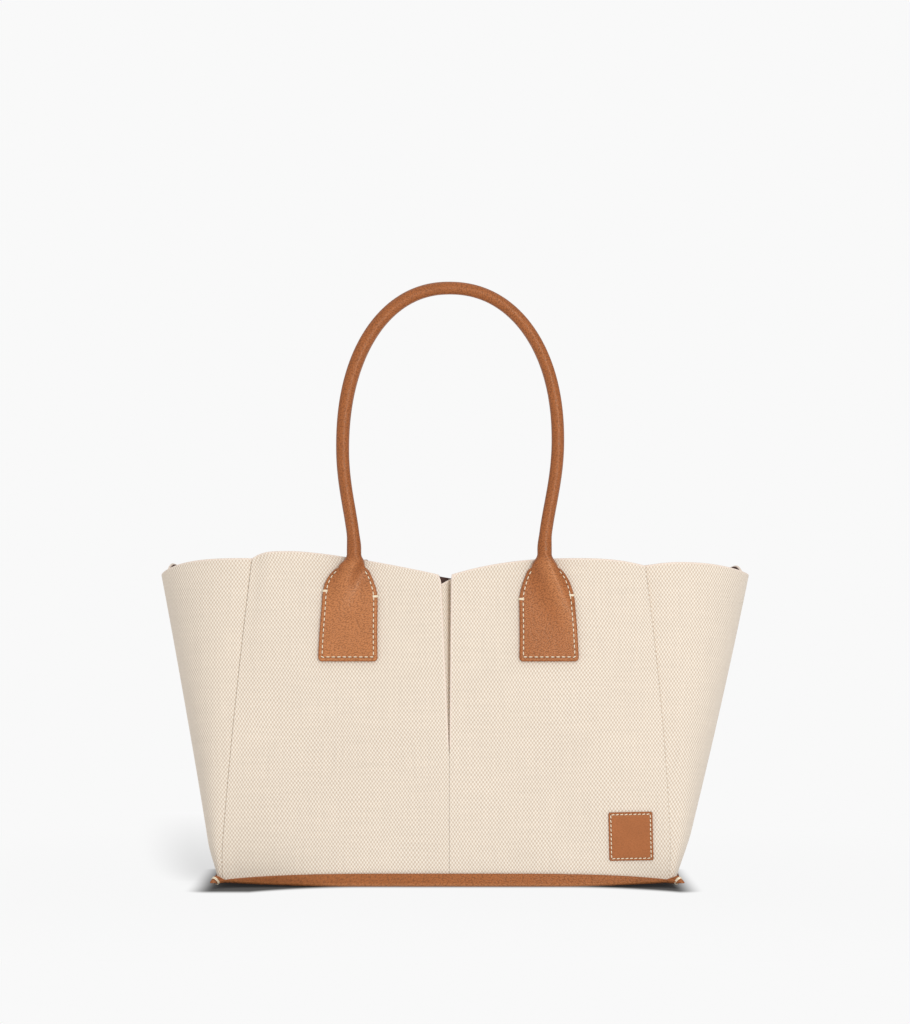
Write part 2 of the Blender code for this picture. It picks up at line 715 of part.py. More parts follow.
def make_tab(face, side, name):
    heights = [TAB_BOTTOM_HEIGHT + TAB_CORNER * share for share in TAB_CORNER_SHARES]
    heights += [mix(TAB_BOTTOM_HEIGHT, TAB_SHOULDER_HEIGHT, share) for share in TAB_SIDE_SHARES]
    heights += [mix(TAB_SHOULDER_HEIGHT, TAB_TOP_HEIGHT, share) for share in TAB_NECK_SHARES]
    ridge_foot = mix(TAB_BOTTOM_HEIGHT, TAB_SHOULDER_HEIGHT, TAB_RIDGE_START_SHARE)
    loops = []
    for z in heights:
        width, centre = tab_outline(z)
        climb = smooth_step((z - ridge_foot) / (TAB_TOP_HEIGHT - ridge_foot))
        ridge = mix(TAB_THICKNESS, TAB_TOP_THICKNESS, climb)
        points = section(width, TAB_THICKNESS, ridge, TAB_SQUARENESS)
        x = side * (centre + points[:, 0])
        y = face * (half_depth(x, np.full(len(x), z)) + CLEARANCE + points[:, 1])
        loops.append(np.column_stack([x, y, np.full(len(x), z)]))
    loft(name, loops, "leather")


def make_backing(face, side, name):
    # A reinforcing patch behind the tab, between the canvas and the lining.
    low, high = TAB_BOTTOM_HEIGHT - BACKING_MARGIN, TAB_TOP_HEIGHT - BACKING_MARGIN
    half = TAB_BOTTOM_HALF_WIDTH + BACKING_MARGIN
    z = np.linspace(low, high, BACKING_LINES)[:, None]
    x = side * (TAB_BOTTOM_HALF_SPAN + np.linspace(-half, half, BACKING_LINES)[None, :])
    x, z = np.broadcast_arrays(x, z)
    near, far = (
        np.stack([x, face * (half_depth(x, z) - inset), z], axis=-1)
        for inset in (CANVAS + CLEARANCE, CANVAS + CLEARANCE + INTERLAYER)
    )
    shell(name, near, far, "backing")


def swing(face):
    # How far the handle is turned from upright at rest: the front one stands, the rear one hangs.
    return 0.0 if face == FRONT else HANG_ANGLE


def make_neck(face, side, name):
    # The leather between tab and tube, drawn about the crease line as distances towards the bag and
    # up. Where the handle hangs, each ring is turned over the crease, by a part of the hang angle
    # that grows along the fold, and is pressed flat half-way.
    angle = swing(face)
    shares = NECK_FOLDED_SHARES if angle else NECK_STANDING_SHARES
    back = crease_distance() - handle_plane(TAB_TOP_HEIGHT)
    loops = []
    for share in shares:
        z = mix(TAB_TOP_HEIGHT + CLEARANCE, HANDLE_ROOT_HEIGHT - CLEARANCE, share)
        turned_share = smooth_step((z - TAB_TOP_HEIGHT) / FOLD_LENGTH)
        pinch = math.sin(math.pi * turned_share) if angle else 0
        fade = smooth_step(share / NECK_ROUND_SHARE)
        width = mix(mix(TAB_TOP_HALF_WIDTH, ROOT_RADIUS, fade), FOLD_HALF_WIDTH, pinch)
        edge = mix(mix(TAB_THICKNESS, 2 * ROOT_RADIUS, fade), FOLD_THICKNESS, pinch)
        ridge = mix(mix(TAB_TOP_THICKNESS, 2 * ROOT_RADIUS, fade), FOLD_THICKNESS, pinch)
        points = section(width, edge, ridge, mix(TAB_SQUARENESS, 2, fade))
        towards = back - points[:, 1] - pinch * (2 * ROOT_RADIUS - FOLD_THICKNESS)
        up = z - CREASE_HEIGHT
        cosine = math.cos(angle * turned_share)
        sine = math.sin(angle * turned_share)
        x = side * (HANDLE_ROOT_HALF_SPAN + points[:, 0])
        y = face * (crease_distance() - towards * cosine + up * sine)
        loops.append(np.column_stack([x, y, CREASE_HEIGHT + up * cosine + towards * sine]))
    loft(name, loops, "leather")


def handle_path():
    # Middle line of the standing handle, from the left root over the top to the right root: a cosine
    # from the root out to the widest point, then half a superellipse over the top.
    lean = np.linspace(0, 1, HANDLE_LOW_STEPS + 1)[:-1]
    low_z = mix(HANDLE_ROOT_HEIGHT, HANDLE_WIDEST_HEIGHT, lean)
    low_x = mix(HANDLE_ROOT_HALF_SPAN, HANDLE_WIDEST_HALF_SPAN, (1 - np.cos(np.pi * lean)) / 2)
    turn = np.linspace(0, np.pi / 2, HANDLE_HIGH_STEPS + 1)
    power = 2 / HANDLE_SQUARENESS
    high_x = HANDLE_WIDEST_HALF_SPAN * np.clip(np.cos(turn), 0, None) ** power
    high_z = HANDLE_WIDEST_HEIGHT + HANDLE_ARCH_RISE * np.sin(turn) ** power
    half = np.column_stack([np.concatenate([low_x, high_x]), np.concatenate([low_z, high_z])])
    left = half * np.array((-1, 1))
    return np.concatenate([left, half[::-1][1:]])


def path_rings(path, radii):
    # Rings square to a path in the XZ plane. Each is a regular polygon about the path's point.
    along = np.gradient(path, axis=0)
    along /= np.linalg.norm(along, axis=1, keepdims=True)
    along[0], along[-1] = (0, 1), (0, -1)
    turn = (np.arange(TUBE_SIDES) + 1 / 2) * 2 * np.pi / TUBE_SIDES
    rings = []
    for point, (run, rise), radius in zip(path, along, radii):
        out = np.array([rise, -run])
        x = point[0] + out[0] * radius * np.cos(turn)
        z = point[1] + out[1] * radius * np.cos(turn)
        rings.append(np.stack([x, radius * np.sin(turn), z], axis=1))
    return np.array(rings)


def make_handle(face, word):
    # The standing handle is built about its crease line, then turned with that line to its rest.
    axis = bpy.data.objects.new(f"{word}_handle_axis", None)
    axis.location = (0, face * crease_distance(), CREASE_HEIGHT)
    axis.rotation_euler = (swing(face) * -face, 0, 0)
    bpy.context.scene.collection.objects.link(axis)
    bpy.context.view_layer.update()
    path = handle_path()
    climb = (path[:, 1] - HANDLE_ROOT_HEIGHT) / ROOT_FLARE_LENGTH
    radii = mix(ROOT_RADIUS, TUBE_RADIUS, smooth_step(climb))
    bore = np.full(len(path), TUBE_RADIUS - TUBE_LEATHER)
    shift = np.array([0, face * (tube_centre() - crease_distance()), -CREASE_HEIGHT])
    outer = path_rings(path, radii) + shift
    inner = path_rings(path, bore) + shift
    core = path_rings(path, bore - CLEARANCE) + shift
    tube_shell(f"{word}_handle_cover", outer, inner, "leather", axis)
    loft(f"{word}_handle_core", core, "cord", axis)


def make_handles():
    for face, word in ((FRONT, "front"), (BACK, "rear")):
        make_handle(face, word)
        for side in (LEFT, RIGHT):
            suffix = SIDE_NAMES[side]
            make_tab(face, side, f"{word}_tab_{suffix}")
            make_backing(face, side, f"{word}_tab_backing_{suffix}")
            make_neck(face, side, f"{word}_handle_neck_{suffix}")


def make_patch():
    # A flat piece of leather with rounded corners, laid on the panel and tilted a little.
    half_w, half_h = PATCH_WIDTH / 2 - PATCH_CORNER, PATCH_HEIGHT / 2 - PATCH_CORNER
    centres = ((half_w, half_h), (-half_w, half_h), (-half_w, -half_h), (half_w, -half_h))
    outline = []
    for quarter, (x, z) in enumerate(centres):
        for step in range(PATCH_CORNER_STEPS + 1):
            turn = (quarter + step / PATCH_CORNER_STEPS) * math.pi / 2
            outline.append((x + PATCH_CORNER * math.cos(turn), z + PATCH_CORNER * math.sin(turn)))
    outline = np.array(outline)
    shrunk = outline * (1 - PATCH_EDGE_ROUND / np.array([PATCH_WIDTH / 2, PATCH_HEIGHT / 2]))
    shoulder = PATCH_THICKNESS - PATCH_EDGE_ROUND
    loops = [
        np.column_stack([plan[:, 0], np.full(len(plan), -out), plan[:, 1]])
        for plan, out in ((outline, 0), (outline, shoulder), (shrunk, PATCH_THICKNESS))
    ]
    patch = loft("label_patch", loops, "leather")
    step = PATCH_HEIGHT / 2
    high = half_depth(PATCH_CENTRE_X, PATCH_CENTRE_HEIGHT + step)
    low = half_depth(PATCH_CENTRE_X, PATCH_CENTRE_HEIGHT - step)
    right = half_depth(PATCH_CENTRE_X + step, PATCH_CENTRE_HEIGHT)
    left = half_depth(PATCH_CENTRE_X - step, PATCH_CENTRE_HEIGHT)
    centre = half_depth(PATCH_CENTRE_X, PATCH_CENTRE_HEIGHT)
    # The panel may rise past the flat patch towards its rim: the patch stands clear of that
    x, z = outline[:, 0], outline[:, 1]
    wall = half_depth(PATCH_CENTRE_X + x, PATCH_CENTRE_HEIGHT + z)
    plane = centre + x * (right - left) / PATCH_HEIGHT + z * (high - low) / PATCH_HEIGHT
    standoff = CLEARANCE + max(float(np.max(wall - plane)), 0)
    patch.location = (PATCH_CENTRE_X, -centre - standoff, PATCH_CENTRE_HEIGHT)
    lean = math.atan((high - low) / PATCH_HEIGHT)
    yaw = -math.atan((right - left) / PATCH_HEIGHT)
    patch.rotation_euler = (lean, PATCH_TILT, yaw)


def main():
    clear_scene()
    make_base()
    make_floor()
    for face in (FRONT, BACK):
        make_panels(face)
        make_pleat(face)
    make_sides()
    make_linings()
    make_handles()
    make_patch()


main()
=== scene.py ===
import math

import bmesh
import bpy
import numpy as np
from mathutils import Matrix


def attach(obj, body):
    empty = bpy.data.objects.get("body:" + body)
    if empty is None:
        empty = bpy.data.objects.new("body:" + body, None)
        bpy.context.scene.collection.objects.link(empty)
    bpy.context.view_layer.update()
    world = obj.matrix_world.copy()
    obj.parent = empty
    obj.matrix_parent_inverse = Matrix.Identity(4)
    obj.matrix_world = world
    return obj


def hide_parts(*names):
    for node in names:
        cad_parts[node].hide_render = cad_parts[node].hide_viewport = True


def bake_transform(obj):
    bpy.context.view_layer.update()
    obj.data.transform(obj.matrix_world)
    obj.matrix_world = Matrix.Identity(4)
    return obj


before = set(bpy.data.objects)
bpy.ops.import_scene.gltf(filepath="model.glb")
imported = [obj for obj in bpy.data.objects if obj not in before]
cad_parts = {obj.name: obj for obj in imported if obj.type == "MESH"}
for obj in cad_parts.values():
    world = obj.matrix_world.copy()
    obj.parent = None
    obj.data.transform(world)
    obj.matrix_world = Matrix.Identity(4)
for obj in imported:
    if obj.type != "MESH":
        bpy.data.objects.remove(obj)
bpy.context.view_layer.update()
print("frame loaded")

left, right = -1, 1
front, back = -1, 1
sides = {left: "left", right: "right"}
faces = {front: "front", back: "back"}

# The bag's form, in metres: half sizes are from its middle planes, heights from the surface it stands on
bodyForm = dict(
    rimHeight=0.2580,
    baseReach={left: 0.1870, right: 0.1828},
    rimReach={left: 0.2370, right: 0.2464},
    sideSwell={left: -0.0004, right: 0.0024},
    footPinch={left: 0.0043, right: 0.0037},
    pinchHeight={left: 0.0340, right: 0.0420},
    seamPinchShare=0.40,
    baseSeamSpan={left: 0.1802, right: 0.1745},
    rimSeamSpan={left: 0.1566, right: 0.1544},
    seamLeanPower={left: 1.2, right: 1.6},
    baseSquareness=3.2,
    rimSquareness=2.0,
    baseDepth=0.0700,
    rimDepth=0.0675,
    belly=0.0088,
    bow=0.0025,
    cornerFlare=0.0080,
    seamCurl={left: 0.0045, right: 0.0020},
    curlStart=0.90,
    ripple=0.0003,
    rippleTurns=((31, 19), (-12, 23), (72, -35)),
    ripplePhases=(1.3, 0.7, 2.1),
    rippleFine=0.6,
    rippleStart=(0.015, 0.05),
    notchHeight=0.2460,
    crownHeight={left: 0.2645, right: 0.2589},
    seamHeight={left: 0.2588, right: 0.2530},
    sideTipHeight=0.2462,
    sideCrownHeight={left: 0.2590, right: 0.2559},
    sideCrownShare={left: 0.05, right: 0.21},
    sideFallPower={left: 1.35, right: 1.0},
    farHump={left: 0.0057, right: 0.0052},
    farHumpShare=0.632,
    farHumpWidth=0.042,
    crownDrop={front: 0.0, back: 0.0018},
    backRise=0.92,
    crownShare={left: 0.75, right: 0.66},
    risePower={left: 1.56, right: 2.50},
    fallPower={left: 4.6, right: 2.5},
    slitFoot=0.1035,
    slitOpening={left: 0.0065, right: 0.0014},
    cornerRound=0.0080,
    cornerCut={left: 0.0022, right: 0.0004},
    endLift=0.0044,
    flatHalfLength=0.0800,
    edgeHeight=0.0107,
    edgeEndHeight=0.0056,
    trayLeather=0.0018,
    gap=0.0003,
)


def mix(start, end, share):
    # start + (end - start) * share.
    return start + (end - start) * share


def smoothStep(share):
    # s^2 (3 - 2 s) between 0 and 1, level beyond.
    share = np.clip(share, 0, 1)
    return share * share * (3 - 2 * share)


def roundEdge(distance, radius):
    # Share of full thickness near an edge: a quarter circle, sqrt(1 - (1 - distance / radius)^2).
    past = 1 - np.clip(distance / radius, 0, 1)
    return np.sqrt(np.clip(1 - past * past, 0, 1))


def bySide(x, values):
    # The left value where x is below 0, else the right one.
    return np.where(x < 0, values[left], values[right])


def footPinch(side, z):
    # How far the tray draws the foot of a side in: a smooth step down to none at the pinch height.
    return bodyForm["footPinch"][side] * (1 - smoothStep(z / bodyForm["pinchHeight"][side]))


def seamSpan(side, z):
    # Slit to seam: base + (rim - base) * (z / rim height)^power, less a share of the pinch.
    share = np.clip(z / bodyForm["rimHeight"], 0, None) ** bodyForm["seamLeanPower"][side]
    span = mix(bodyForm["baseSeamSpan"][side], bodyForm["rimSeamSpan"][side], share)
    return span - bodyForm["seamPinchShare"] * footPinch(side, z)


def spanAt(x, z):
    # Slit to seam on the side that x lies on.
    return bySide(x, {side: seamSpan(side, z) for side in sides})


def sideReach(side, z):
    # Slit to outermost line: a straight lean from base to rim, plus a parabola, less the pinch.
    share = z / bodyForm["rimHeight"]
    swell = bodyForm["sideSwell"][side] * 4 * share * (1 - share)
    reach = mix(bodyForm["baseReach"][side], bodyForm["rimReach"][side], share)
    return reach + swell - footPinch(side, z)


def ripple(x, z, face):
    # Slow unevenness of the cloth: two crossed waves plus a finer one, none at the foot.
    turns = [across * x + up * z for across, up in bodyForm["rippleTurns"]]
    slow, cross, fine = bodyForm["ripplePhases"]
    wave = np.sin(turns[0] + slow * face) * np.cos(turns[1] + cross)
    wave = wave + bodyForm["rippleFine"] * np.sin(turns[2] + fine * face)
    start, length = bodyForm["rippleStart"]
    return bodyForm["ripple"] * wave * smoothStep((z - start) / length)


def halfDepth(x, z, face):
    # Middle plane to canvas: straight wall + belly parabola + bow across + flared base corners - curl
    # at the seams + ripple.
    up = z / bodyForm["rimHeight"]
    across = np.abs(x) / spanAt(x, z)
    wall = mix(bodyForm["baseDepth"], bodyForm["rimDepth"], up) + bodyForm["belly"] * 4 * up * (1 - up)
    bow = bodyForm["bow"] * (1 - across**2)
    flare = bodyForm["cornerFlare"] * across**4 * np.clip(1 - up, 0, None) ** 3
    curled = smoothStep((across - bodyForm["curlStart"]) / (1 - bodyForm["curlStart"]))
    return wall + bow + flare - bySide(x, bodyForm["seamCurl"]) * up**2 * curled + ripple(x, z, face)


def slitShare(z):
    # 0 at the slit's foot and 1 at the notch above it.
    return (z - bodyForm["slitFoot"]) / (bodyForm["notchHeight"] - bodyForm["slitFoot"])


def slitEdge(side, z):
    # The panel's middle edge: on the centre line, then leaning away above the slit's foot, with a
    # parabola at the corner under the rim.
    top = np.clip((z - bodyForm["notchHeight"]) / bodyForm["cornerRound"] + 1, 0, None)
    lean = bodyForm["slitOpening"][side] * np.clip(slitShare(z), 0, None)
    return lean + bodyForm["cornerCut"][side] * top**2


def panelRim(face, side, share):
    # Rim height from the slit (0) to the seam (1): 1 - (1 - s)^rise up to the crown, then s^fall down.
    crownShare = bodyForm["crownShare"][side]
    crown = bodyForm["crownHeight"][side] - bodyForm["crownDrop"][face]
    power = bodyForm["risePower"][side] * (1 if face == front else bodyForm["backRise"])
    rise = 1 - (1 - np.clip(share / crownShare, 0, 1)) ** power
    fall = np.clip((share - crownShare) / (1 - crownShare), 0, 1) ** bodyForm["fallPower"][side]
    notch = bodyForm["notchHeight"]
    return notch + (crown - notch) * rise - (crown - bodyForm["seamHeight"][side]) * fall


def sideRim(side, share):
    # Rim height from the front seam (0) over the outermost tip (0.5) to the back seam (1): a parabola up
    # to the crown, half a cosine wave down to the tip, and a bell-shaped hump on the far side only.
    out = 1 - np.abs(1 - 2 * share)
    crownShare, crown = bodyForm["sideCrownShare"][side], bodyForm["sideCrownHeight"][side]
    rise = 1 - (1 - np.clip(out / crownShare, 0, 1)) ** 2
    past = np.clip((out - crownShare) / (1 - crownShare), 0, 1) ** bodyForm["sideFallPower"][side]
    fall = (1 - np.cos(np.pi * past)) / 2
    far = np.exp(-(((share - bodyForm["farHumpShare"]) / bodyForm["farHumpWidth"]) ** 2))
    seam = bodyForm["seamHeight"][side]
    height = seam + (crown - seam) * rise - (crown - bodyForm["sideTipHeight"]) * fall
    return height + bodyForm["farHump"][side] * far


def cornerPower(z):
    # Exponent 2 / n of the plan's superellipse, whose squareness n falls from base to rim.
    share = np.clip(z / bodyForm["rimHeight"], 0, 1)
    return 2 / mix(bodyForm["baseSquareness"], bodyForm["rimSquareness"], share)


def baseLift(x):
    # The underside: level in the middle, then a parabola up to each end.
    past = np.clip(np.abs(x) - bodyForm["flatHalfLength"], 0, None)
    run = bySide(x, bodyForm["baseReach"]) - bodyForm["flatHalfLength"]
    return bodyForm["endLift"] * (past / run) ** 2


def edgeHeight(x):
    # Top of the tray's edge: falls with the fourth power of x towards the ends.
    share = np.clip(np.abs(x) / bySide(x, bodyForm["baseReach"]), 0, 1) ** 4
    return mix(bodyForm["edgeHeight"], bodyForm["edgeEndHeight"], share)


def clothFoot(x, rise=0.0):
    # Height of a cloth's lower edge: on the tray's leather, with a gap, plus a rise.
    return bodyForm["trayLeather"] + bodyForm["gap"] + baseLift(x) + rise


# Meshes


def crowdedShares(length, radius, middle, edge=6):
    # 0 to 1 along a length, with lines crowded by a cosine over the rounded edge at each end.
    turn = np.linspace(0, np.pi / 2, edge + 1)
    near = radius * (1 - np.cos(turn)) / length
    inside = np.linspace(near[-1], 1 - near[-1], middle + 1)
    return np.concatenate([near, inside[1:-1], 1 - near[::-1]])


def lengthsAlong(points, axis):
    # Running distance along one direction of a grid of points.
    steps = np.linalg.norm(np.diff(points, axis=axis), axis=-1)
    start = np.zeros_like(np.take(steps, [0], axis=axis))
    return np.concatenate([start, np.cumsum(steps, axis=axis)], axis=axis)


def edgedHalf(thickness, across, up, starts, ends, rims):
    # Half a sheet's thickness, rounded off by a radius at both rims and its first and last columns.
    half = thickness / 2 * roundEdge(up[-1:] - up, rims) * roundEdge(up, rims)
    return half * roundEdge(across, starts) * roundEdge(across[:, -1:] - across, ends)


def makePiece(name, grids, maps, values=None):
    # One closed mesh from grids of points, joined where they meet, with a UV map in metres and one
    # number per point for each named attribute.
    quads, first = [], 0
    for grid in grids:
        rows, columns = grid.shape[:2]
        row, column = np.meshgrid(np.arange(rows - 1), np.arange(columns - 1), indexing="ij")
        start = first + (row * columns + column).ravel()
        quads.append(np.stack([start, start + 1, start + 1 + columns, start + columns], axis=1))
        first += rows * columns
    quads = np.concatenate(quads)
    mesh = bpy.data.meshes.new(name)
    mesh.from_pydata(np.concatenate([grid.reshape(-1, 3) for grid in grids]), [], quads)
    corners = np.concatenate([grid.reshape(-1, 2) for grid in maps])[quads.ravel()]
    mesh.uv_layers.new(name="cloth").data.foreach_set("uv", corners.astype(np.float32).ravel())
    for key, parts in (values or {}).items():
        numbers = np.concatenate([np.asarray(part, np.float32).ravel() for part in parts])
        mesh.attributes.new(key, "FLOAT", "POINT").data.foreach_set("value", numbers)
    joined = bmesh.new()
    joined.from_mesh(mesh)
    bmesh.ops.remove_doubles(joined, verts=joined.verts, dist=1e-6)
    bmesh.ops.recalc_face_normals(joined, faces=joined.faces)
    joined.to_mesh(mesh)
    joined.free()
    mesh.shade_smooth()
    made = bpy.data.objects.new(name, mesh)
    bpy.context.scene.collection.objects.link(made)
    return made


def dress(piece, material, slotName, nodes=(), body="bag"):
    # Finish, slot name (not used), the CAD nodes that the piece stands for, and the body that carries it.
    piece.data.materials.append(material)
    if nodes:
        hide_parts(*nodes)
    if body:
        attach(piece, body)


def makeSheet(name, nodeName, grids, cloth, hem=None):
    # A sewn cloth of two faces: canvas where its distance from a raw edge is given, else lining.
    made = makePiece(name, grids, [cloth, cloth], {} if hem is None else {"hem": [hem, hem]})
    material, slotName = (lining, "lining") if hem is None else (canvas, "canvas")
    dress(made, material, slotName, [nodeName])


# Materials


def linearColour(code):
    # sRGB hex to linear: c / 12.92, or ((c + 0.055) / 1.055)^2.4.
    channels = np.array([int(code[place : place + 2], 16) for place in (1, 3, 5)]) / 255
    low, high = channels / 12.92, ((channels + 0.055) / 1.055) ** 2.4
    return (*[float(value) for value in np.where(channels <= 0.04045, low, high)], 1.0)


def addNode(tree, kind, settings=None, inputs=None):
    # Adds a node, with its settings, and its inputs as numbers or as links from other nodes' outputs.
    made = tree.nodes.new(kind)
    for key, value in (settings or {}).items():
        setattr(made, key, value)
    for key, value in (inputs or {}).items():
        if isinstance(value, bpy.types.NodeSocket):
            tree.links.new(value, made.inputs[key])
        else:
            made.inputs[key].default_value = value
    return made


def onNumbers(tree, operation, *values):
    # A math node's result for one to three numbers.
    return addNode(tree, "ShaderNodeMath", {"operation": operation}, dict(enumerate(values))).outputs[0]


def onVectors(tree, operation, *values):
    # The same for vectors; a length is a number.
    made = addNode(tree, "ShaderNodeVectorMath", {"operation": operation}, dict(enumerate(values)))
    return made.outputs["Value" if operation == "LENGTH" else "Vector"]


def parted(tree, vector):
    # The three numbers of a vector.
    return addNode(tree, "ShaderNodeSeparateXYZ", {}, {0: vector}).outputs[:3]


def ranged(tree, value, low, high, start=0.0, end=1.0, kind="SMOOTHSTEP"):
    # From start at low to end at high, as a smooth step or LINEAR, and level beyond.
    ends = {0: value, 1: low, 2: high, 3: start, 4: end}
    return addNode(tree, "ShaderNodeMapRange", {"interpolation_type": kind}, ends).outputs[0]


def noise(tree, place, scale, detail, output=0):
    # Noise about 0.5, with so many cells to a metre.
    inputs = {"Vector": place, "Scale": scale, "Detail": detail}
    return addNode(tree, "ShaderNodeTexNoise", {}, inputs).outputs[output]


def mixed(tree, share, first, second, kind="MIX"):
    # Two colours, sockets or hex codes mixed by a share, or the first one times the second: MULTIPLY.
    ends = [linearColour(end) if isinstance(end, str) else end for end in (first, second)]
    settings = {"data_type": "RGBA", "blend_type": kind, "clamp_result": False}
    return addNode(tree, "ShaderNodeMix", settings, {0: share, 6: ends[0], 7: ends[1]}).outputs[2]


def shaded(tree, colour, cloud, depth, spread=(0.3, 0.7)):
    # A colour times 1 - depth to 1 + depth, straight with a noise over the spread of its values.
    level = ranged(tree, cloud, *spread, 1 - depth, 1 + depth, "LINEAR")
    return mixed(tree, 1.0, colour, level, "MULTIPLY")


def attribute(tree, name):
    # The number that the mesh keeps for each point under this name.
    return addNode(tree, "ShaderNodeAttribute", {"attribute_name": name}).outputs["Fac"]


def clothPlace(tree):
    # Place on the flat cloth, in metres.
    return addNode(tree, "ShaderNodeUVMap", {"uv_map": "cloth"}).outputs[0]


def newMaterial(name, sockets):
    # An empty tree with a Principled shader, whose even values are set on its own sockets.
    made = bpy.data.materials.new(name)
    made.use_nodes = True
    tree = made.node_tree
    tree.nodes.clear()
    shader = addNode(tree, "ShaderNodeBsdfPrincipled", {}, sockets)
    addNode(tree, "ShaderNodeOutputMaterial", {}, {"Surface": shader.outputs[0]})
    return made, tree, shader


def finishSurface(tree, shader, colour, height, strength, distance, inward=False):
    # Links the colour, and a bump of this strength and height in metres, outward or inward.
    tree.links.new(colour, shader.inputs["Base Color"])
    inputs = {"Strength": strength, "Distance": distance, "Height": height}
    bump = addNode(tree, "ShaderNodeBump", {"invert": inward}, inputs)
    tree.links.new(bump.outputs[0], shader.inputs["Normal"])


# Undyed canvas, plain weave of a pale warp and a darker weft: gives the eye a fine two-tone check
canvasLook = dict(
    warp="#EBE1D2",
    weft="#C9B6A2",
    hem="#EAD8CA",
    pitch=(0.001285, 0.00182),
    wander=0.00040,
    wanderNoise=(90, 2),
    drift=0.0042,
    driftNoise=(20, 0),
    checkSpread=0.8,
    threadShade=0.025,
    threadNoise=(1.0, 1),
    threadSpread=(0.25, 0.75),
    threadRun=24,
    cloudShade=0.015,
    cloudNoise=(14, 3),
    hemWidth=0.0016,
    hemStart=0.5,
    hemShare=0.75,
    bump=(0.6, 0.00022),
    sockets={"Roughness": 0.92, "IOR": 1.45, "Sheen Weight": 0.12, "Sheen Roughness": 0.6},
)


def makeCanvas(name, look):
    # Check = cos(pi u / warp pitch) * cos(pi v / weft pitch), with u and v moved a little by noise.
    made, tree, shader = newMaterial(name, look["sockets"])
    cloth = clothPlace(tree)
    wander = onVectors(tree, "SUBTRACT", noise(tree, cloth, *look["wanderNoise"], "Color"), (0.5,) * 3)
    moved = onVectors(tree, "MULTIPLY_ADD", wander, (look["wander"],) * 3, cloth)
    drift = noise(tree, cloth, *look["driftNoise"], "Color")
    moved = onVectors(tree, "MULTIPLY_ADD", drift, (look["drift"],) * 3, moved)
    waves = []
    for place, pitch in zip(parted(tree, moved), look["pitch"]):
        turn = onNumbers(tree, "MULTIPLY", place, math.pi / pitch)
        waves.append(onNumbers(tree, "COSINE", turn))
    over = ranged(tree, onNumbers(tree, "MULTIPLY", *waves), -look["checkSpread"], look["checkSpread"])
    colour = mixed(tree, over, look["weft"], look["warp"])
    # Each thread has its own shade: noise that changes fast across the threads and slowly along them
    warp, weft = look["pitch"]
    for stretch in ((1 / warp, look["threadRun"], 1), (look["threadRun"], 1 / weft, 1)):
        shade = noise(tree, onVectors(tree, "MULTIPLY", moved, stretch), *look["threadNoise"])
        colour = shaded(tree, colour, shade, look["threadShade"], look["threadSpread"])
    colour = shaded(tree, colour, noise(tree, cloth, *look["cloudNoise"]), look["cloudShade"])
    width = look["hemWidth"]
    hem = ranged(tree, attribute(tree, "hem"), width * look["hemStart"], width, look["hemShare"], 0.0)
    colour = mixed(tree, hem, colour, look["hem"])
    finishSurface(tree, shader, colour, over, *look["bump"])
    return made


# Tan cowhide, drum-tumbled and rolled: fine pebbles with dark creases, half matt, burnished cut edges
leatherLook = dict(
    face="#BA7546",
    deep="#693813",
    edge="#914E22",
    hole="#623213",
    grainPitch=(0.0017, 0.0008),
    grainSlant=-0.45,
    grainWander=0.0004,
    wanderNoise=(300, 2),
    grainSoftness=0.3,
    creaseSpread=(0.22, 0.70),
    creaseShare=0.55,
    cloudShade=0.05,
    cloudNoise=(60, 4),
    cloudSpread=(0.3, 0.7),
    # Painted shade with patina: the colour that the leather is multiplied by, fully on the tube
    shadeAndPatina=(0.73, 0.60, 0.45, 1.0),
    edgeWidth=0.0011,
    edgeStart=0.3,
    edgeShare=0.85,
    rowWidth=0.0009,
    rowShare=0.75,
    roughness=(0.29, 0.37),
    sockets={"IOR": 1.52, "Specular Tint": (1.0, 0.80, 0.60, 1.0)},
    bumpStrength=0.8,
    bumpDepth=0.00012,
)
patchLook = dict(leatherLook, face="#A25E33", deep="#925329", bumpDepth=0.00003)
rowScale = 100  # stitchRow is 1 on the row of stitches, and this many times the metres aside off it


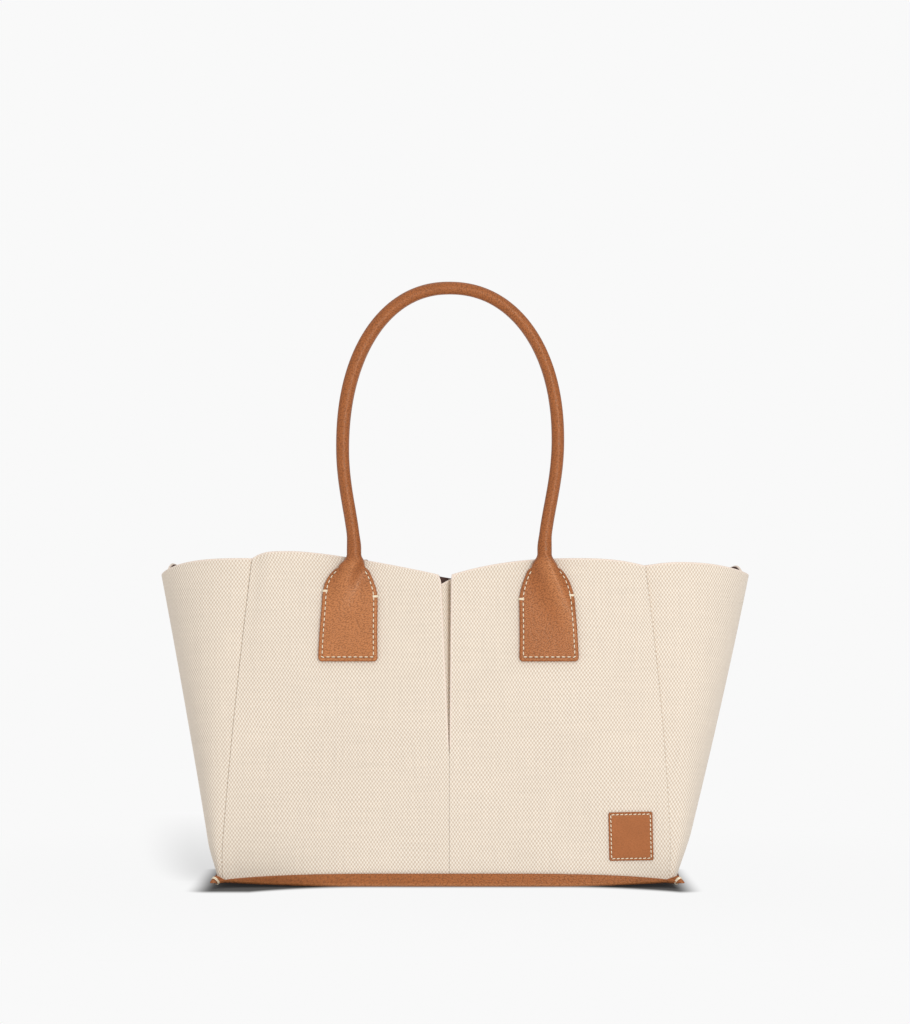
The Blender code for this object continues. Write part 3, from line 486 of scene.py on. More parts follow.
def makeLeather(name, look):
    # Pebbles = distance to the nearest cell point, in slanting cells one grain pitch wide, moved by
    # noise; darker and redder by a share that the mesh keeps: patina and painted shade on the tube, painted
    # shade on the right tab and the tray's walls; the row of stitches pressed in and dark.
    made, tree, shader = newMaterial(name, look["sockets"])
    cloth = clothPlace(tree)
    wander = noise(tree, cloth, *look["wanderNoise"], "Color")
    moved = onVectors(tree, "MULTIPLY_ADD", wander, (look["grainWander"],) * 3, cloth)
    inputs = {"Vector": moved, "Angle": look["grainSlant"]}
    slanted = addNode(tree, "ShaderNodeVectorRotate", {"rotation_type": "Z_AXIS"}, inputs).outputs[0]
    cells = onVectors(tree, "MULTIPLY", slanted, (*[1 / pitch for pitch in look["grainPitch"]], 1))
    settings = {"voronoi_dimensions": "2D", "feature": "SMOOTH_F1"}
    inputs = {"Vector": cells, "Scale": 1.0, "Smoothness": look["grainSoftness"]}
    pebble = addNode(tree, "ShaderNodeTexVoronoi", settings, inputs).outputs["Distance"]
    cloud = noise(tree, cloth, *look["cloudNoise"])
    crease = ranged(tree, pebble, *look["creaseSpread"])
    share = onNumbers(tree, "MULTIPLY", crease, look["creaseShare"])
    colour = mixed(tree, share, look["face"], look["deep"])
    colour = shaded(tree, colour, cloud, look["cloudShade"], look["cloudSpread"])
    # Painted shade, and patina on the tube: darker and redder by the mesh's share
    colour = mixed(tree, attribute(tree, "shadeAndPatina"), colour, look["shadeAndPatina"], "MULTIPLY")
    aside = onNumbers(tree, "ABSOLUTE", onNumbers(tree, "SUBTRACT", attribute(tree, "stitchRow"), 1.0))
    pressed = ranged(tree, aside, 0.0, look["rowWidth"] * rowScale, look["rowShare"], 0.0)
    colour = mixed(tree, pressed, colour, look["hole"])
    cut, width = attribute(tree, "cutEdge"), look["edgeWidth"]
    edge = ranged(tree, cut, width * look["edgeStart"], width, look["edgeShare"], 0.0)
    colour = mixed(tree, edge, colour, look["edge"])
    rough = ranged(tree, cloud, *look["cloudSpread"], *look["roughness"], "LINEAR")
    tree.links.new(rough, shader.inputs["Roughness"])
    dent = onNumbers(tree, "MAXIMUM", crease, pressed)
    finishSurface(tree, shader, colour, dent, look["bumpStrength"], look["bumpDepth"], inward=True)
    return made


# Cotton twill lining: steep diagonal ribs, matt and dark
liningLook = dict(
    rib="#5A372A",
    valley="#39211A",
    pitch=0.0014,
    slope=0.55,
    bump=(0.6, 0.0002),
    sockets={"Roughness": 0.85, "IOR": 1.45, "Sheen Weight": 0.1},
)

# Waxed sewing thread, pressed board, stiff cloth and twisted cord: fine fibres in two shades
fibreLook = dict(detail=3, spread=(0.3, 0.7), bump=(0.5, 0.0002), ior=1.5)
threadLook = dict(light="#F7ECD6", dark="#DCC8A6", pitch=(0.0009, 0.0009), slant=0.8, roughness=0.7)
boardLook = dict(light="#9A8265", dark="#7A654C", pitch=(0.0030, 0.0008), slant=0.0, roughness=0.85)
backingLook = dict(light="#D8CFC1", dark="#BDB3A4", pitch=(0.0022, 0.0012), slant=0.3, roughness=0.92)
cordLook = dict(light="#DED5C5", dark="#B9AE9B", pitch=(0.0020, 0.0020), slant=1.0, roughness=0.9)


def makeRibbed(name, look):
    # Rib = sin(2 pi (u + slope * v) / pitch), for cloth whose ribs run aslant.
    made, tree, shader = newMaterial(name, look["sockets"])
    across, up, _ = parted(tree, clothPlace(tree))
    sloped = onNumbers(tree, "MULTIPLY_ADD", up, look["slope"], across)
    turn = onNumbers(tree, "MULTIPLY", sloped, 2 * math.pi / look["pitch"])
    rib = ranged(tree, onNumbers(tree, "SINE", turn), -1.0, 1.0)
    finishSurface(tree, shader, mixed(tree, rib, look["valley"], look["rib"]), rib, *look["bump"])
    return made


def makeFibred(name, look):
    # Noise stretched along the fibres, between a light and a dark shade.
    made, tree, shader = newMaterial(name, {"Roughness": look["roughness"], "IOR": fibreLook["ior"]})
    thick, long = look["pitch"]
    inputs = {
        "Vector": addNode(tree, "ShaderNodeTexCoord").outputs["Object"],
        "Rotation": (0, look["slant"], 0),
        "Scale": (1 / thick, 1 / thick, 1 / long),
    }
    turned = addNode(tree, "ShaderNodeMapping", {}, inputs).outputs[0]
    fibre = noise(tree, turned, 1.0, fibreLook["detail"])
    share = ranged(tree, fibre, *fibreLook["spread"], kind="LINEAR")
    colour = mixed(tree, share, look["dark"], look["light"])
    finishSurface(tree, shader, colour, share, *fibreLook["bump"])
    return made


canvas = makeCanvas("undyedWovenCanvas", canvasLook)
leather = makeLeather("tumbledTanCowhide", leatherLook)
patchLeather = makeLeather("smoothTanCowhide", patchLook)
lining = makeRibbed("brownCottonTwill", liningLook)
thread = makeFibred("creamWaxedThread", threadLook)
board = makeFibred("pressedFibreBoard", boardLook)
backing = makeFibred("stiffNonWovenCloth", backingLook)
cord = makeFibred("twistedCottonCord", cordLook)
print("materials made")

# Canvas panels: front and back halves, with rolled edges at the rim, the slit and the seams

canvasSheet = dict(
    thickness=0.0018,
    seamGap=0.0001,
    edgeRound=0.0011,
    flatRound=0.00006,
    rimRound=0.0009,
    nominalHeight=0.25,
    seamOpen={left: 0.45, right: 0.08},
    seamCloseHeight=0.20,
)
panelForm = dict(columns=44, rows=70, nominalWidth=0.16, slitFade=0.012, hemStart=0.004)


def seamFade(side, z):
    # The left seam is crisp all the way down; the right one is pressed flat, and closes towards the base.
    closing = smoothStep(z / canvasSheet["seamCloseHeight"]) if side == right else 1.0
    return canvasSheet["seamOpen"][side] * closing


def panelPoints(face, side, u, v, inset):
    # Across from the slit (u = 0) to the seam (u = 1) and up from foot (v = 0) to rim (v = 1), at an
    # inset from the canvas's outer surface: x = mix(slit, seam, u), y = half depth - inset.
    z = mix(clothFoot(side * bodyForm["baseSeamSpan"][side] * u), panelRim(face, side, u), v)
    edge = canvasSheet["seamGap"] / 2
    x = side * mix(slitEdge(side, z) + edge, seamSpan(side, z) - edge * seamFade(side, z), u)
    return np.stack([x, face * (halfDepth(x, z, face) - inset), z], axis=-1)


def makePanel(face, side):
    # Two faces half the thickness to either side of the middle, edges rounded where they lie open.
    form, thick = canvasSheet, canvasSheet["thickness"]
    u = crowdedShares(panelForm["nominalWidth"], form["edgeRound"], panelForm["columns"])[None, :]
    v = crowdedShares(form["nominalHeight"], form["edgeRound"], panelForm["rows"])[:, None]
    middle = panelPoints(face, side, u, v, thick / 2)
    across, up, z = lengthsAlong(middle, 1), lengthsAlong(middle, 0), middle[..., 2]
    opened = smoothStep((z - bodyForm["slitFoot"]) / panelForm["slitFade"])
    inner, outer = [mix(form["flatRound"], form["edgeRound"], share) for share in (opened, seamFade(side, z))]
    half = edgedHalf(thick, across, up, inner, outer, form["rimRound"])
    grids = [panelPoints(face, side, u, v, thick / 2 + way * half) for way in (-1, 1)]
    cloth = np.stack([side * across, up + z[:1]], axis=-1)
    slit = np.where(z > bodyForm["slitFoot"] + panelForm["hemStart"], across, 1.0)
    name, nodeName = f"{faces[face]}Panel{sides[side].title()}", f"{faces[face]}_panel_{sides[side]}"
    makeSheet(name, nodeName, grids, cloth, np.minimum(up[-1:] - up, slit))


for face in faces:
    for side in sides:
        makePanel(face, side)
print("panels made")

# Side wings: one cloth from the front seam round the outermost line to the back seam

wingForm = dict(
    valley={left: 0.0010, right: 0.0022},
    valleyWidth=0.0130,
    valleyPower=1.5,
    ripple=1.6,
    rippleLength=0.2,
    columns=90,
    rows=66,
    nominalRadius=0.06,
    crowding=1.35,
)


def wingPoints(side, u, v, inset, footRise=0.0, setback=0.0):
    # In plan part of a superellipse |x|^n + |y|^n = 1 past the seams, squarer at the base, with a
    # shallow valley beside each seam.
    foot = clothFoot(side * bodyForm["baseReach"][side], footRise)
    z = mix(foot, sideRim(side, u) - setback, v)
    share, power = np.clip(z / bodyForm["rimHeight"], 0, 1), cornerPower(z)
    seam = seamSpan(side, z) + canvasSheet["seamGap"] / 2 * seamFade(side, z)
    reach, sine, cosine = sideReach(side, z) - seam, np.sin(np.pi * u), np.cos(np.pi * u)
    face = np.where(cosine > 0, front, back)
    deep = halfDepth(side * seamSpan(side, z), z, face) - inset
    rise = 1 - smoothStep(np.clip(reach, 0, None) * sine / wingForm["valleyWidth"])
    deep = deep - wingForm["valley"][side] * share ** wingForm["valleyPower"] * rise
    deep = deep + wingForm["ripple"] * ripple(u * wingForm["rippleLength"] + side, z, side) * sine**2
    x = side * (seam + (reach - inset) * np.clip(sine, 0, None) ** power)
    y = -deep * np.sign(cosine) * np.abs(cosine) ** power
    return np.stack([x, y, z], axis=-1)


def wingColumns():
    # Shares crowded at the seams: 0, 1 and a few close to them, then even.
    near = 1 - np.cos(np.linspace(0, np.pi / 2, 7))
    near = (canvasSheet["edgeRound"] / wingForm["nominalRadius"] * near) ** wingForm["crowding"] / np.pi
    inside = np.linspace(near[-1], 1 - near[-1], wingForm["columns"] + 1)
    return np.concatenate([near, inside[1:-1], 1 - near[::-1]])[None, :]


def makeWing(side):
    # Two faces half the thickness to either side of the middle, seams and rims rounded.
    form, thick = canvasSheet, canvasSheet["thickness"]
    u = wingColumns()
    v = crowdedShares(form["nominalHeight"], form["edgeRound"], wingForm["rows"])[:, None]
    middle = wingPoints(side, u, v, thick / 2)
    across, up, z = lengthsAlong(middle, 1), lengthsAlong(middle, 0), middle[..., 2]
    edge = mix(form["flatRound"], form["edgeRound"], seamFade(side, z))
    half = edgedHalf(thick, across, up, edge, edge, form["rimRound"])
    grids = [wingPoints(side, u, v, thick / 2 + way * half) for way in (-1, 1)]
    tip = across.shape[1] // 2
    cloth = np.stack([across - across[:, tip : tip + 1], up + z[:1]], axis=-1)
    makeSheet(f"wing{sides[side].title()}", f"side_panel_{sides[side]}", grids, cloth, up[-1:] - up)


for side in sides:
    makeWing(side)
print("wings made")

# Pleat gussets: a thin canvas fold set in the slit, its valley deeper towards the top

pleatForm = dict(
    thickness=0.0010,
    edgeRound=0.0005,
    depth=0.0075,
    valleyOffset=0.0010,
    foldWidth=0.0012,
    hem=0.0035,
    hemCorner=0.6,
    leftFlank=((0.25, 0.06), (0.55, 0.24), (0.85, 0.62)),
    rightFlank=(0.12, 0.85),
    farCorner=0.4,
    topDrop={left: 0.0076, right: 0.0036},
    dropPower=4,
    dropEnds=(-0.2, 1.2),
    footDrop=0.002,
    rows=40,
    nominalHeight=0.14,
)


def softened(path, times):
    # Corner cutting along axis 1: each stretch keeps its points at 1/4 and 3/4.
    for _ in range(times):
        near = path[:, :-1] * 0.75 + path[:, 1:] * 0.25
        far = path[:, :-1] * 0.25 + path[:, 1:] * 0.75
        cut = np.stack([near, far], axis=2).reshape(len(path), -1, path.shape[-1])
        path = np.concatenate([path[:, :1], cut, path[:, -1:]], axis=1)
    return path


def pleatPath(z):
    # Plan path for each height: hem behind the left half, in to the fold, out to the right half's hem.
    share = slitShare(z)
    wall = -(halfDepth(0 * z, z, front) - canvasSheet["thickness"] - bodyForm["gap"])
    deep = wall + pleatForm["depth"] * share
    start, end, middle = -slitEdge(left, z), slitEdge(right, z), pleatForm["valleyOffset"] * share
    fold, hem = pleatForm["foldWidth"] / 2, pleatForm["hem"]
    x = [start - hem, mix(start - hem, start - fold, pleatForm["hemCorner"]), start - fold]
    x += [mix(start - fold, middle - fold, place) for place, _ in pleatForm["leftFlank"]]
    x += [middle - fold, middle + fold]
    x += [mix(middle + fold, end + fold, place) for place in pleatForm["rightFlank"]]
    x += [end + fold, mix(end + fold, end + hem, pleatForm["farCorner"]), end + hem]
    y = [wall] * 3 + [mix(wall, deep, place) for _, place in pleatForm["leftFlank"]] + [deep] * 2
    y += [mix(deep, wall, place) for place in pleatForm["rightFlank"]] + [wall] * 3
    return softened(np.stack([np.stack(x, axis=1), np.stack(y, axis=1)], axis=-1), 3)


def makePleat(face):
    # Half the thickness to either side of the path, its upper edge dropping towards the left half.
    form, drops = pleatForm, pleatForm["topDrop"]
    v = crowdedShares(form["nominalHeight"], form["edgeRound"], form["rows"], 4)
    z = mix(bodyForm["slitFoot"] - form["footDrop"], bodyForm["notchHeight"] - drops[right], v)
    path = pleatPath(np.maximum(z, bodyForm["slitFoot"]))
    slit = bodyForm["slitOpening"][left] + bodyForm["slitOpening"][right]
    fall = np.clip((bodyForm["slitOpening"][right] - path[..., 0]) / slit, *form["dropEnds"])
    drop = (drops[left] - drops[right]) * fall * v[:, None] ** form["dropPower"]
    along = np.gradient(path, axis=1) + (1e-9, 0)  # at the slit's foot the path has no length
    along /= np.linalg.norm(along, axis=-1, keepdims=True)
    inward = np.stack([-along[..., 1], along[..., 0]], axis=-1)
    height = np.broadcast_to(z[:, None], path.shape[:2]) - drop
    flat = np.concatenate([path, height[..., None]], axis=-1)
    across, up, edge = lengthsAlong(flat, 1), lengthsAlong(flat, 0), form["edgeRound"]
    half = edgedHalf(form["thickness"], across, up, edge, edge, edge)
    middle = path + inward * form["thickness"] / 2
    grids = []
    for way in (-1, 1):
        plan = middle + way * inward * half[..., None]
        grids.append(np.stack([plan[..., 0], -face * plan[..., 1], height], axis=-1))
    cloth = np.stack([across - across[:, -1:] / 2, up], axis=-1)
    name, nodeName = f"{faces[face]}PleatGusset", f"{faces[face]}_pleat_gusset"
    makeSheet(name, nodeName, grids, cloth, up[-1:] - up)


for face in faces:
    makePleat(face)
print("pleats made")

# Lining: a dark cloth inside each wall, sewn on just under the rim, with soft wrinkles

liningForm = dict(
    thickness=0.0008,
    edgeRound=0.0004,
    inset=0.0034,
    rimInset=0.0020,
    rimBand=0.0080,
    setback=0.0010,
    wallSetback={front: 0.0014, back: 0.0018},
    seamGap=0.0001,
    slitSag=0.0018,
    foot=0.0023,
    wrinkle=0.0014,
    lowFolds=((26, 9), (11, 1.7)),
    highFolds=((61, -23, 2.3), 17),
    foldShares=(0.65, 0.35),
    foldEnds=(0.04, 0.235, 0.06),
    foldSeeds={front: -1.4, back: 1.4, "wing": 2.2},
    wingFoldLength=0.2,
    seamFoldPower=8,
    ridgeDepth=0.0136,
    ridgeEnd=1.1,
    ridgeRise=(0.0040, 0.0030),
    ridgeFall=(0.0016, 0.0050),
    rows=70,
    rowCrowding=(0.25, 0.0006),
    ridgeShare=0.07,
    columns=(29, 41),
    wingColumns=97,
)


def wrinkles(across, z, seed):
    # Soft folds into the bag, 0 or more: squared sines that lean, faded out at rim and foot.
    form = liningForm
    (lean, rise), (slow, phase) = form["lowFolds"]
    low = np.sin(lean * across + rise * z + seed) * np.sin(slow * z + phase * seed)
    (lean, rise, phase), slow = form["highFolds"]
    high = np.sin(lean * across + rise * z + phase * seed) * np.cos(slow * z - seed)
    footFade, rim, rimFade = form["foldEnds"]
    fade = smoothStep(z / footFade) * smoothStep((rim - z) / rimFade)
    return form["wrinkle"] * (form["foldShares"][0] * low**2 + form["foldShares"][1] * high**2) * fade


def liningInset(up):
    # Distance behind the canvas's face: less in the band under the rim, where it is sewn on.
    return mix(liningForm["rimInset"], liningForm["inset"], smoothStep(up / liningForm["rimBand"]))


def pleatRidge(x, z):
    # The lining rides over the back of the pleat: a steep smooth rise and fall across it.
    share = np.clip(slitShare(z), 0, liningForm["ridgeEnd"])
    start, middle = -slitEdge(left, z), pleatForm["valleyOffset"] * share
    early, late = liningForm["ridgeRise"]
    rise = smoothStep((x - start + early) / (middle - start + late))
    past, width = liningForm["ridgeFall"]
    return liningForm["ridgeDepth"] * share * rise * (1 - smoothStep((x - middle - past) / width))


def wallLiningPoints(face, share, v, past):
    # Full width from the left seam (share -1) to the right (1): canvas wall less inset, ridge, folds.
    side, u = np.where(share < 0, left, right), np.abs(share)
    # The rim follows the canvas's, which starts at the open slit's edge, and sags across the slit
    rims, edges = {}, {}
    for way in sides:
        edges[way] = bodyForm["slitOpening"][way] + bodyForm["cornerCut"][way]
        edge = edges[way] / bodyForm["rimSeamSpan"][way]
        rims[way] = panelRim(face, way, np.clip((u - edge) / (1 - edge), 0, 1))
    opened = share * bodyForm["rimSeamSpan"][left] + edges[left]
    opened = opened / (edges[left] + edges[right])
    sag = liningForm["slitSag"] * np.clip(opened, 0, 1) * (1 - smoothStep(opened - 1))
    rim = bySide(share, rims) - liningForm["wallSetback"][face] - sag
    foot = clothFoot(side * bySide(share, bodyForm["baseSeamSpan"]) * u, liningForm["foot"])
    z = mix(foot, rim, v)
    x = side * u * (spanAt(share, z) - liningForm["seamGap"])
    y = halfDepth(x, z, face) - liningInset(rim - z) - past - pleatRidge(x, z)
    y = y - wrinkles(x, z, liningForm["foldSeeds"][face]) * (1 - u ** liningForm["seamFoldPower"])
    return np.stack([x, face * y, z], axis=-1)


def liningRows():
    # Shares from foot to rim, crowded over the rounded edges.
    return crowdedShares(*liningForm["rowCrowding"], liningForm["rows"], 4)[:, None]


def makeLining(name, nodeName, centre, points):
    # Two faces half the thickness to either side of the centre, all four edges rounded.
    across, up = lengthsAlong(centre, 1), lengthsAlong(centre, 0)
    edge = liningForm["edgeRound"]
    half = edgedHalf(liningForm["thickness"], across, up, edge, edge, edge)
    makeSheet(name, nodeName, [points(way * half) for way in (-1, 1)], np.stack([across, up], axis=-1))


def makeWallLining(face):
    # Columns even over the pleat, and even again out to each seam.
    reach, (middle, outer) = liningForm["ridgeShare"], liningForm["columns"]
    outer = mix(reach, 1.0, np.linspace(0, 1, outer)[1:])
    share = np.concatenate([-outer[::-1], np.linspace(-reach, reach, middle), outer])[None, :]
    v = liningRows()

    def points(past):
        return wallLiningPoints(face, share, v, past)

    makeLining(f"{faces[face]}Lining", f"{faces[face]}_lining", points(0.0), points)


def makeWingLining(side):
    # Follows the wing behind its inset, with folds that fade out at the seams.
    u, v = np.linspace(0, 1, liningForm["wingColumns"])[None, :], liningRows()
    ends = liningForm["foot"], liningForm["setback"]
    plain = wingPoints(side, u, v, liningForm["inset"], *ends)
    seed = liningForm["foldSeeds"]["wing"] + side
    fold = wrinkles(u * liningForm["wingFoldLength"], plain[..., 2], seed) * np.sin(np.pi * u)
    inset = liningInset(sideRim(side, u) - plain[..., 2]) + fold

    def points(past):
        return wingPoints(side, u, v, inset + past, *ends)

    makeLining(f"{sides[side]}Lining", f"{sides[side]}_lining", plain, points)


for face in faces:
    makeWallLining(face)
for side in sides:
    makeWingLining(side)
print("linings made")


def quarterOutline(side, t, height, inset):
    # From the front's middle (t = 0) along the wall to the seam (t = 1) and round the wing to its
    # outermost line (t = 2), as points at the height that a function gives for each x.
    u, turn = np.clip(t, 0, 1), np.pi / 2 * np.clip(t - 1, 0, 1)
    sine, cosine = np.sin(turn), np.cos(turn)
    span, end = bodyForm["baseSeamSpan"][side], bodyForm["baseReach"][side]
    z = height(side * np.where(t > 1, mix(span, end, sine), span * u))
    seam, power = seamSpan(side, z), cornerPower(z)
    x = np.where(t <= 1, seam * u, seam + (sideReach(side, z) - seam - inset) * sine**power)
    wall = halfDepth(side * seam * u, z, front) - inset
    y = -wall * np.where(t > 1, np.clip(cosine, 0, 1) ** power, 1)
    return np.stack([side * x, y, z], axis=-1)


def wholeOutline(t, height, inset):
    # Four quarters, round from the front's middle by the right end and the back to the left end.
    near = {side: quarterOutline(side, t, height, inset) for side in sides}
    far = {side: near[side] * (1, -1, 1) for side in sides}
    return np.concatenate([near[right], far[right][::-1][1:], far[left][1:], near[left][::-1][1:]])


# Floor of the lining, over the board

floorForm = dict(
    inset=0.0045,
    height=0.0050,
    thickness=0.0008,
    edgeShare=0.005,
    columns=(30, 50),
    rows=26,
    rowPower=0.8,
    edgeRows=(0.992, 0.998, 1),
    dent=0.0004,
    dentTurns=((33, 20), (-14, 51)),
)


def makeLiningFloor():
    # Rows shrink from the outline to the middle; dents = |sin * cos| of slanting waves, none at the edge.
    form = floorForm
    wall, end = form["columns"]
    t = np.concatenate([np.linspace(0, 1, wall), 1 + np.linspace(0, 1, end)[1:]])
    edge = wholeOutline(t, lambda x: baseLift(x) + form["height"], form["inset"])
    share = np.concatenate([np.linspace(0, 1, form["rows"])[:-1] ** form["rowPower"], form["edgeRows"]])
    share = share[:, None]
    plan = (edge[None] * share[..., None])[..., :2]
    x, y = plan[..., 0], plan[..., 1]
    (first, second), (third, fourth) = form["dentTurns"]
    dent = np.sin(first * x + second * y) * np.cos(third * x + fourth * y) * (1 - share**4)
    z = baseLift(x) + form["height"] + np.abs(form["dent"] * dent)
    half = form["thickness"] / 2 * roundEdge(1 - share, form["edgeShare"])
    grids = [np.stack([x, y, z + way * half], axis=-1) for way in (1, -1)]
    makeSheet("liningFloor", "lining_floor", grids, plan)


makeLiningFloor()

# Base tray: one leather, turned up round the canvas, pinched into an ear at each corner

trayForm = dict(
    turnRise=0.0026,
    turnDepth=0.0040,
    lipRound=0.0007,
    lipFade=0.004,
    earShare=1.35,
    earSpan=0.16,
    earReach={left: 0.0088, right: 0.0104},
    earRise=0.0046,
    earDroop=0.0022,
    earWidth=0.0034,
    earPower=3,
    earMiddle=0.38,
    earHalfHeight=(0.46, 0.68),
    earBlunt=2.3,
    # Share of painted shade on the tray's walls, which face a little down over the floor's shade
    shadeAndPatinaShare=0.85,
    columns=(60, 50, 60),
    under=(0.0, 0.3, 0.6, 0.85, 0.97),
    turnRows=8,
    wallRows=14,
    lipRows=8,
    inside=(1.0, 0.9, 0.5, 0.0),
)


def trayColumns():
    # Even along the walls and round the ends, with more about the corner ears.
    wall, end, ear = trayForm["columns"]
    near = trayForm["earShare"] + np.linspace(-trayForm["earSpan"], trayForm["earSpan"], ear)
    return np.unique(np.concatenate([np.linspace(0, 1, wall), np.linspace(1, 2, end)[1:], near]))


def earPull(share):
    # Outward pull of the ear up the wall: (1 - |s|^n)^(1 / n), blunt at the tip.
    low, high = trayForm["earHalfHeight"]
    place = abs(share - trayForm["earMiddle"]) / (low if share < trayForm["earMiddle"] else high)
    return (1 - min(place, 1) ** trayForm["earBlunt"]) ** (1 / trayForm["earBlunt"])


def makeTray():
    # Rows of outlines: out under the bag, round the turn, up the wall, over the lip and in to the
    # middle; near each corner a row is pulled outwards by ear reach * pull * exp(-(distance / width)^3).
    form, gap, leatherDepth = trayForm, bodyForm["gap"], bodyForm["trayLeather"]
    t, outside = trayColumns(), -gap - leatherDepth
    rise, deep, lip = form["turnRise"], form["turnDepth"], form["lipRound"]
    foot = wholeOutline(t, baseLift, outside + deep)
    lengths = lengthsAlong(foot, 0)
    ways = np.array([(1, -1), (1, 1), (-1, 1), (-1, -1)])
    corners = [int(np.argmax(foot[:, :2] @ way)) for way in ways]
    apart = np.abs(lengths[:, None] - lengths[corners][None, :])
    apart = np.minimum(apart, lengths[-1] - apart).min(axis=1)
    ear = np.exp(-((apart / form["earWidth"]) ** form["earPower"]))
    outward = np.sign(foot) * (1, 1, 0) / math.sqrt(2)
    reach = bySide(foot[:, 0], form["earReach"])
    rows, cuts = [], []

    def addRow(points, pull, lift, cut):
        moved = points + outward * (reach * pull * ear)[:, None]
        moved[:, 2] += form["earRise"] * lift * ear**3 - form["earDroop"] * pull * ear
        rows.append(moved)
        cuts.append(np.full(len(points), cut))

    def addShrunk(outline, shares, height):
        # Rows of an outline drawn in by each share, on the curved base.
        for share in shares:
            points = outline * (share, share, 1)
            points[:, 2] = baseLift(points[:, 0]) + height
            addRow(points, 0.0, 0.0, 1.0)

    addShrunk(foot, form["under"], 0.0)
    for angle in np.linspace(0, np.pi / 2, form["turnRows"]):
        inset = outside + deep * (1 - math.sin(angle))
        lift = rise * (1 - math.cos(angle))
        points = wholeOutline(t, lambda x: baseLift(x) + lift, inset)
        addRow(points, earPull(0) * math.sin(angle), 0.0, 1.0)
    for share in np.linspace(0, 1, form["wallRows"] + 1)[1:]:
        points = wholeOutline(t, lambda x: mix(baseLift(x) + rise, edgeHeight(x) - lip, share), outside)
        addRow(points, earPull(share), share**2, lip + (1 - share) * form["lipFade"])
    for angle in np.linspace(0, np.pi, form["lipRows"] + 1)[1:]:
        inset = mix(outside, -gap, (1 - math.cos(angle)) / 2)
        lift = lip * math.sin(angle)
        addRow(wholeOutline(t, lambda x: edgeHeight(x) - lip + lift, inset), earPull(1), 1.0, 0.0)
    floor = wholeOutline(t, lambda x: baseLift(x) + leatherDepth, -gap)
    addShrunk(floor, form["inside"], leatherDepth)
    grid, cut = np.stack(rows), np.stack(cuts)
    cloth = np.stack([np.broadcast_to(lengths, grid.shape[:2]), lengthsAlong(grid, 0)], axis=-1)
    # Painted shade on the walls and lip; none underneath
    shadeAndPatina = np.where(cut < 1, form["shadeAndPatinaShare"], 0.0)
    made = makePiece("baseTray", [grid], [cloth], {"cutEdge": [cut], "shadeAndPatina": [shadeAndPatina]})
    dress(made, leather, "leather", ["base_leather"])
    wallTop = len(grid) - len(form["inside"]) - form["lipRows"] - 1
    return [(grid[wallTop, corner], outward[corner]) for corner in corners]


# Threads that tie each ear: closed loops round it, side by side, leaning outwards at the top

earThread = dict(
    loops=3,
    pitch=0.00062,
    radius=0.00036,
    halfLength=0.0033,
    halfWidth=0.0024,
    out=-0.0002,
    height=0.0060,
    lean=0.72,
    squareness=0.75,
    points=37,
    around=9,
)


def threadTube(path, normal, radius, closed=False):
    # A round thread: at each point radius * (cos * normal + sin * cross), narrowed at open ends.
    if closed:
        along = np.roll(path[:-1], -1, axis=0) - np.roll(path[:-1], 1, axis=0)
        along = np.concatenate([along, along[:1]])
    else:
        along = np.gradient(path, axis=0)
    along = along / np.linalg.norm(along, axis=1, keepdims=True)
    cross = np.cross(along, np.broadcast_to(normal, path.shape))
    cross /= np.linalg.norm(cross, axis=1, keepdims=True)
    up = np.cross(cross, along)
    lengths = lengthsAlong(path, 0)
    ends = np.minimum(lengths, lengths[-1] - lengths)
    swell = 1.0 if closed else roundEdge(ends, radius)[:, None, None]
    turn = np.linspace(0, 2 * np.pi, earThread["around"])[None, :, None]
    grid = path[:, None] + radius * swell * (np.cos(turn) * up[:, None] + np.sin(turn) * cross[:, None])
    return grid, np.stack(np.broadcast_arrays(lengths[:, None], turn[..., 0] * radius), axis=-1)


def makeThreads(name, tubes):
    # Several thread tubes as one piece.
    grids, maps = zip(*tubes)
    dress(makePiece(name, grids, maps), thread, "cord")


def makeEarThreads(corners):
    # Each loop: a squarish ellipse, signed |cos|^n and |sin|^n, in a plane that leans out at the top.
    form, tubes = earThread, []
    turn = np.linspace(0, 2 * np.pi, form["points"])[:, None]
    waves = np.cos(turn), np.sin(turn)
    tall, wide = [np.sign(wave) * np.abs(wave) ** form["squareness"] for wave in waves]
    sine, cosine = math.sin(form["lean"]), math.cos(form["lean"])
    for apex, outward in corners:
        aside = np.array([-outward[1], outward[0], 0.0])
        lean = outward * sine + np.array([0, 0, cosine])
        across = outward * cosine - np.array([0, 0, sine])
        centre = apex * (1, 1, 0) + outward * form["out"] + np.array([0, 0, form["height"]])
        loop = tall * form["halfLength"] * lean + wide * form["halfWidth"] * aside
        for place in np.arange(form["loops"]) - (form["loops"] - 1) / 2:
            path = centre + across * place * form["pitch"] + loop
            tubes.append(threadTube(path, across, form["radius"], True))
    makeThreads("earThreads", tubes)


makeEarThreads(makeTray())
print("base made")

# Handles: each is one leather from tab to tube to tab, carried as a section along a path

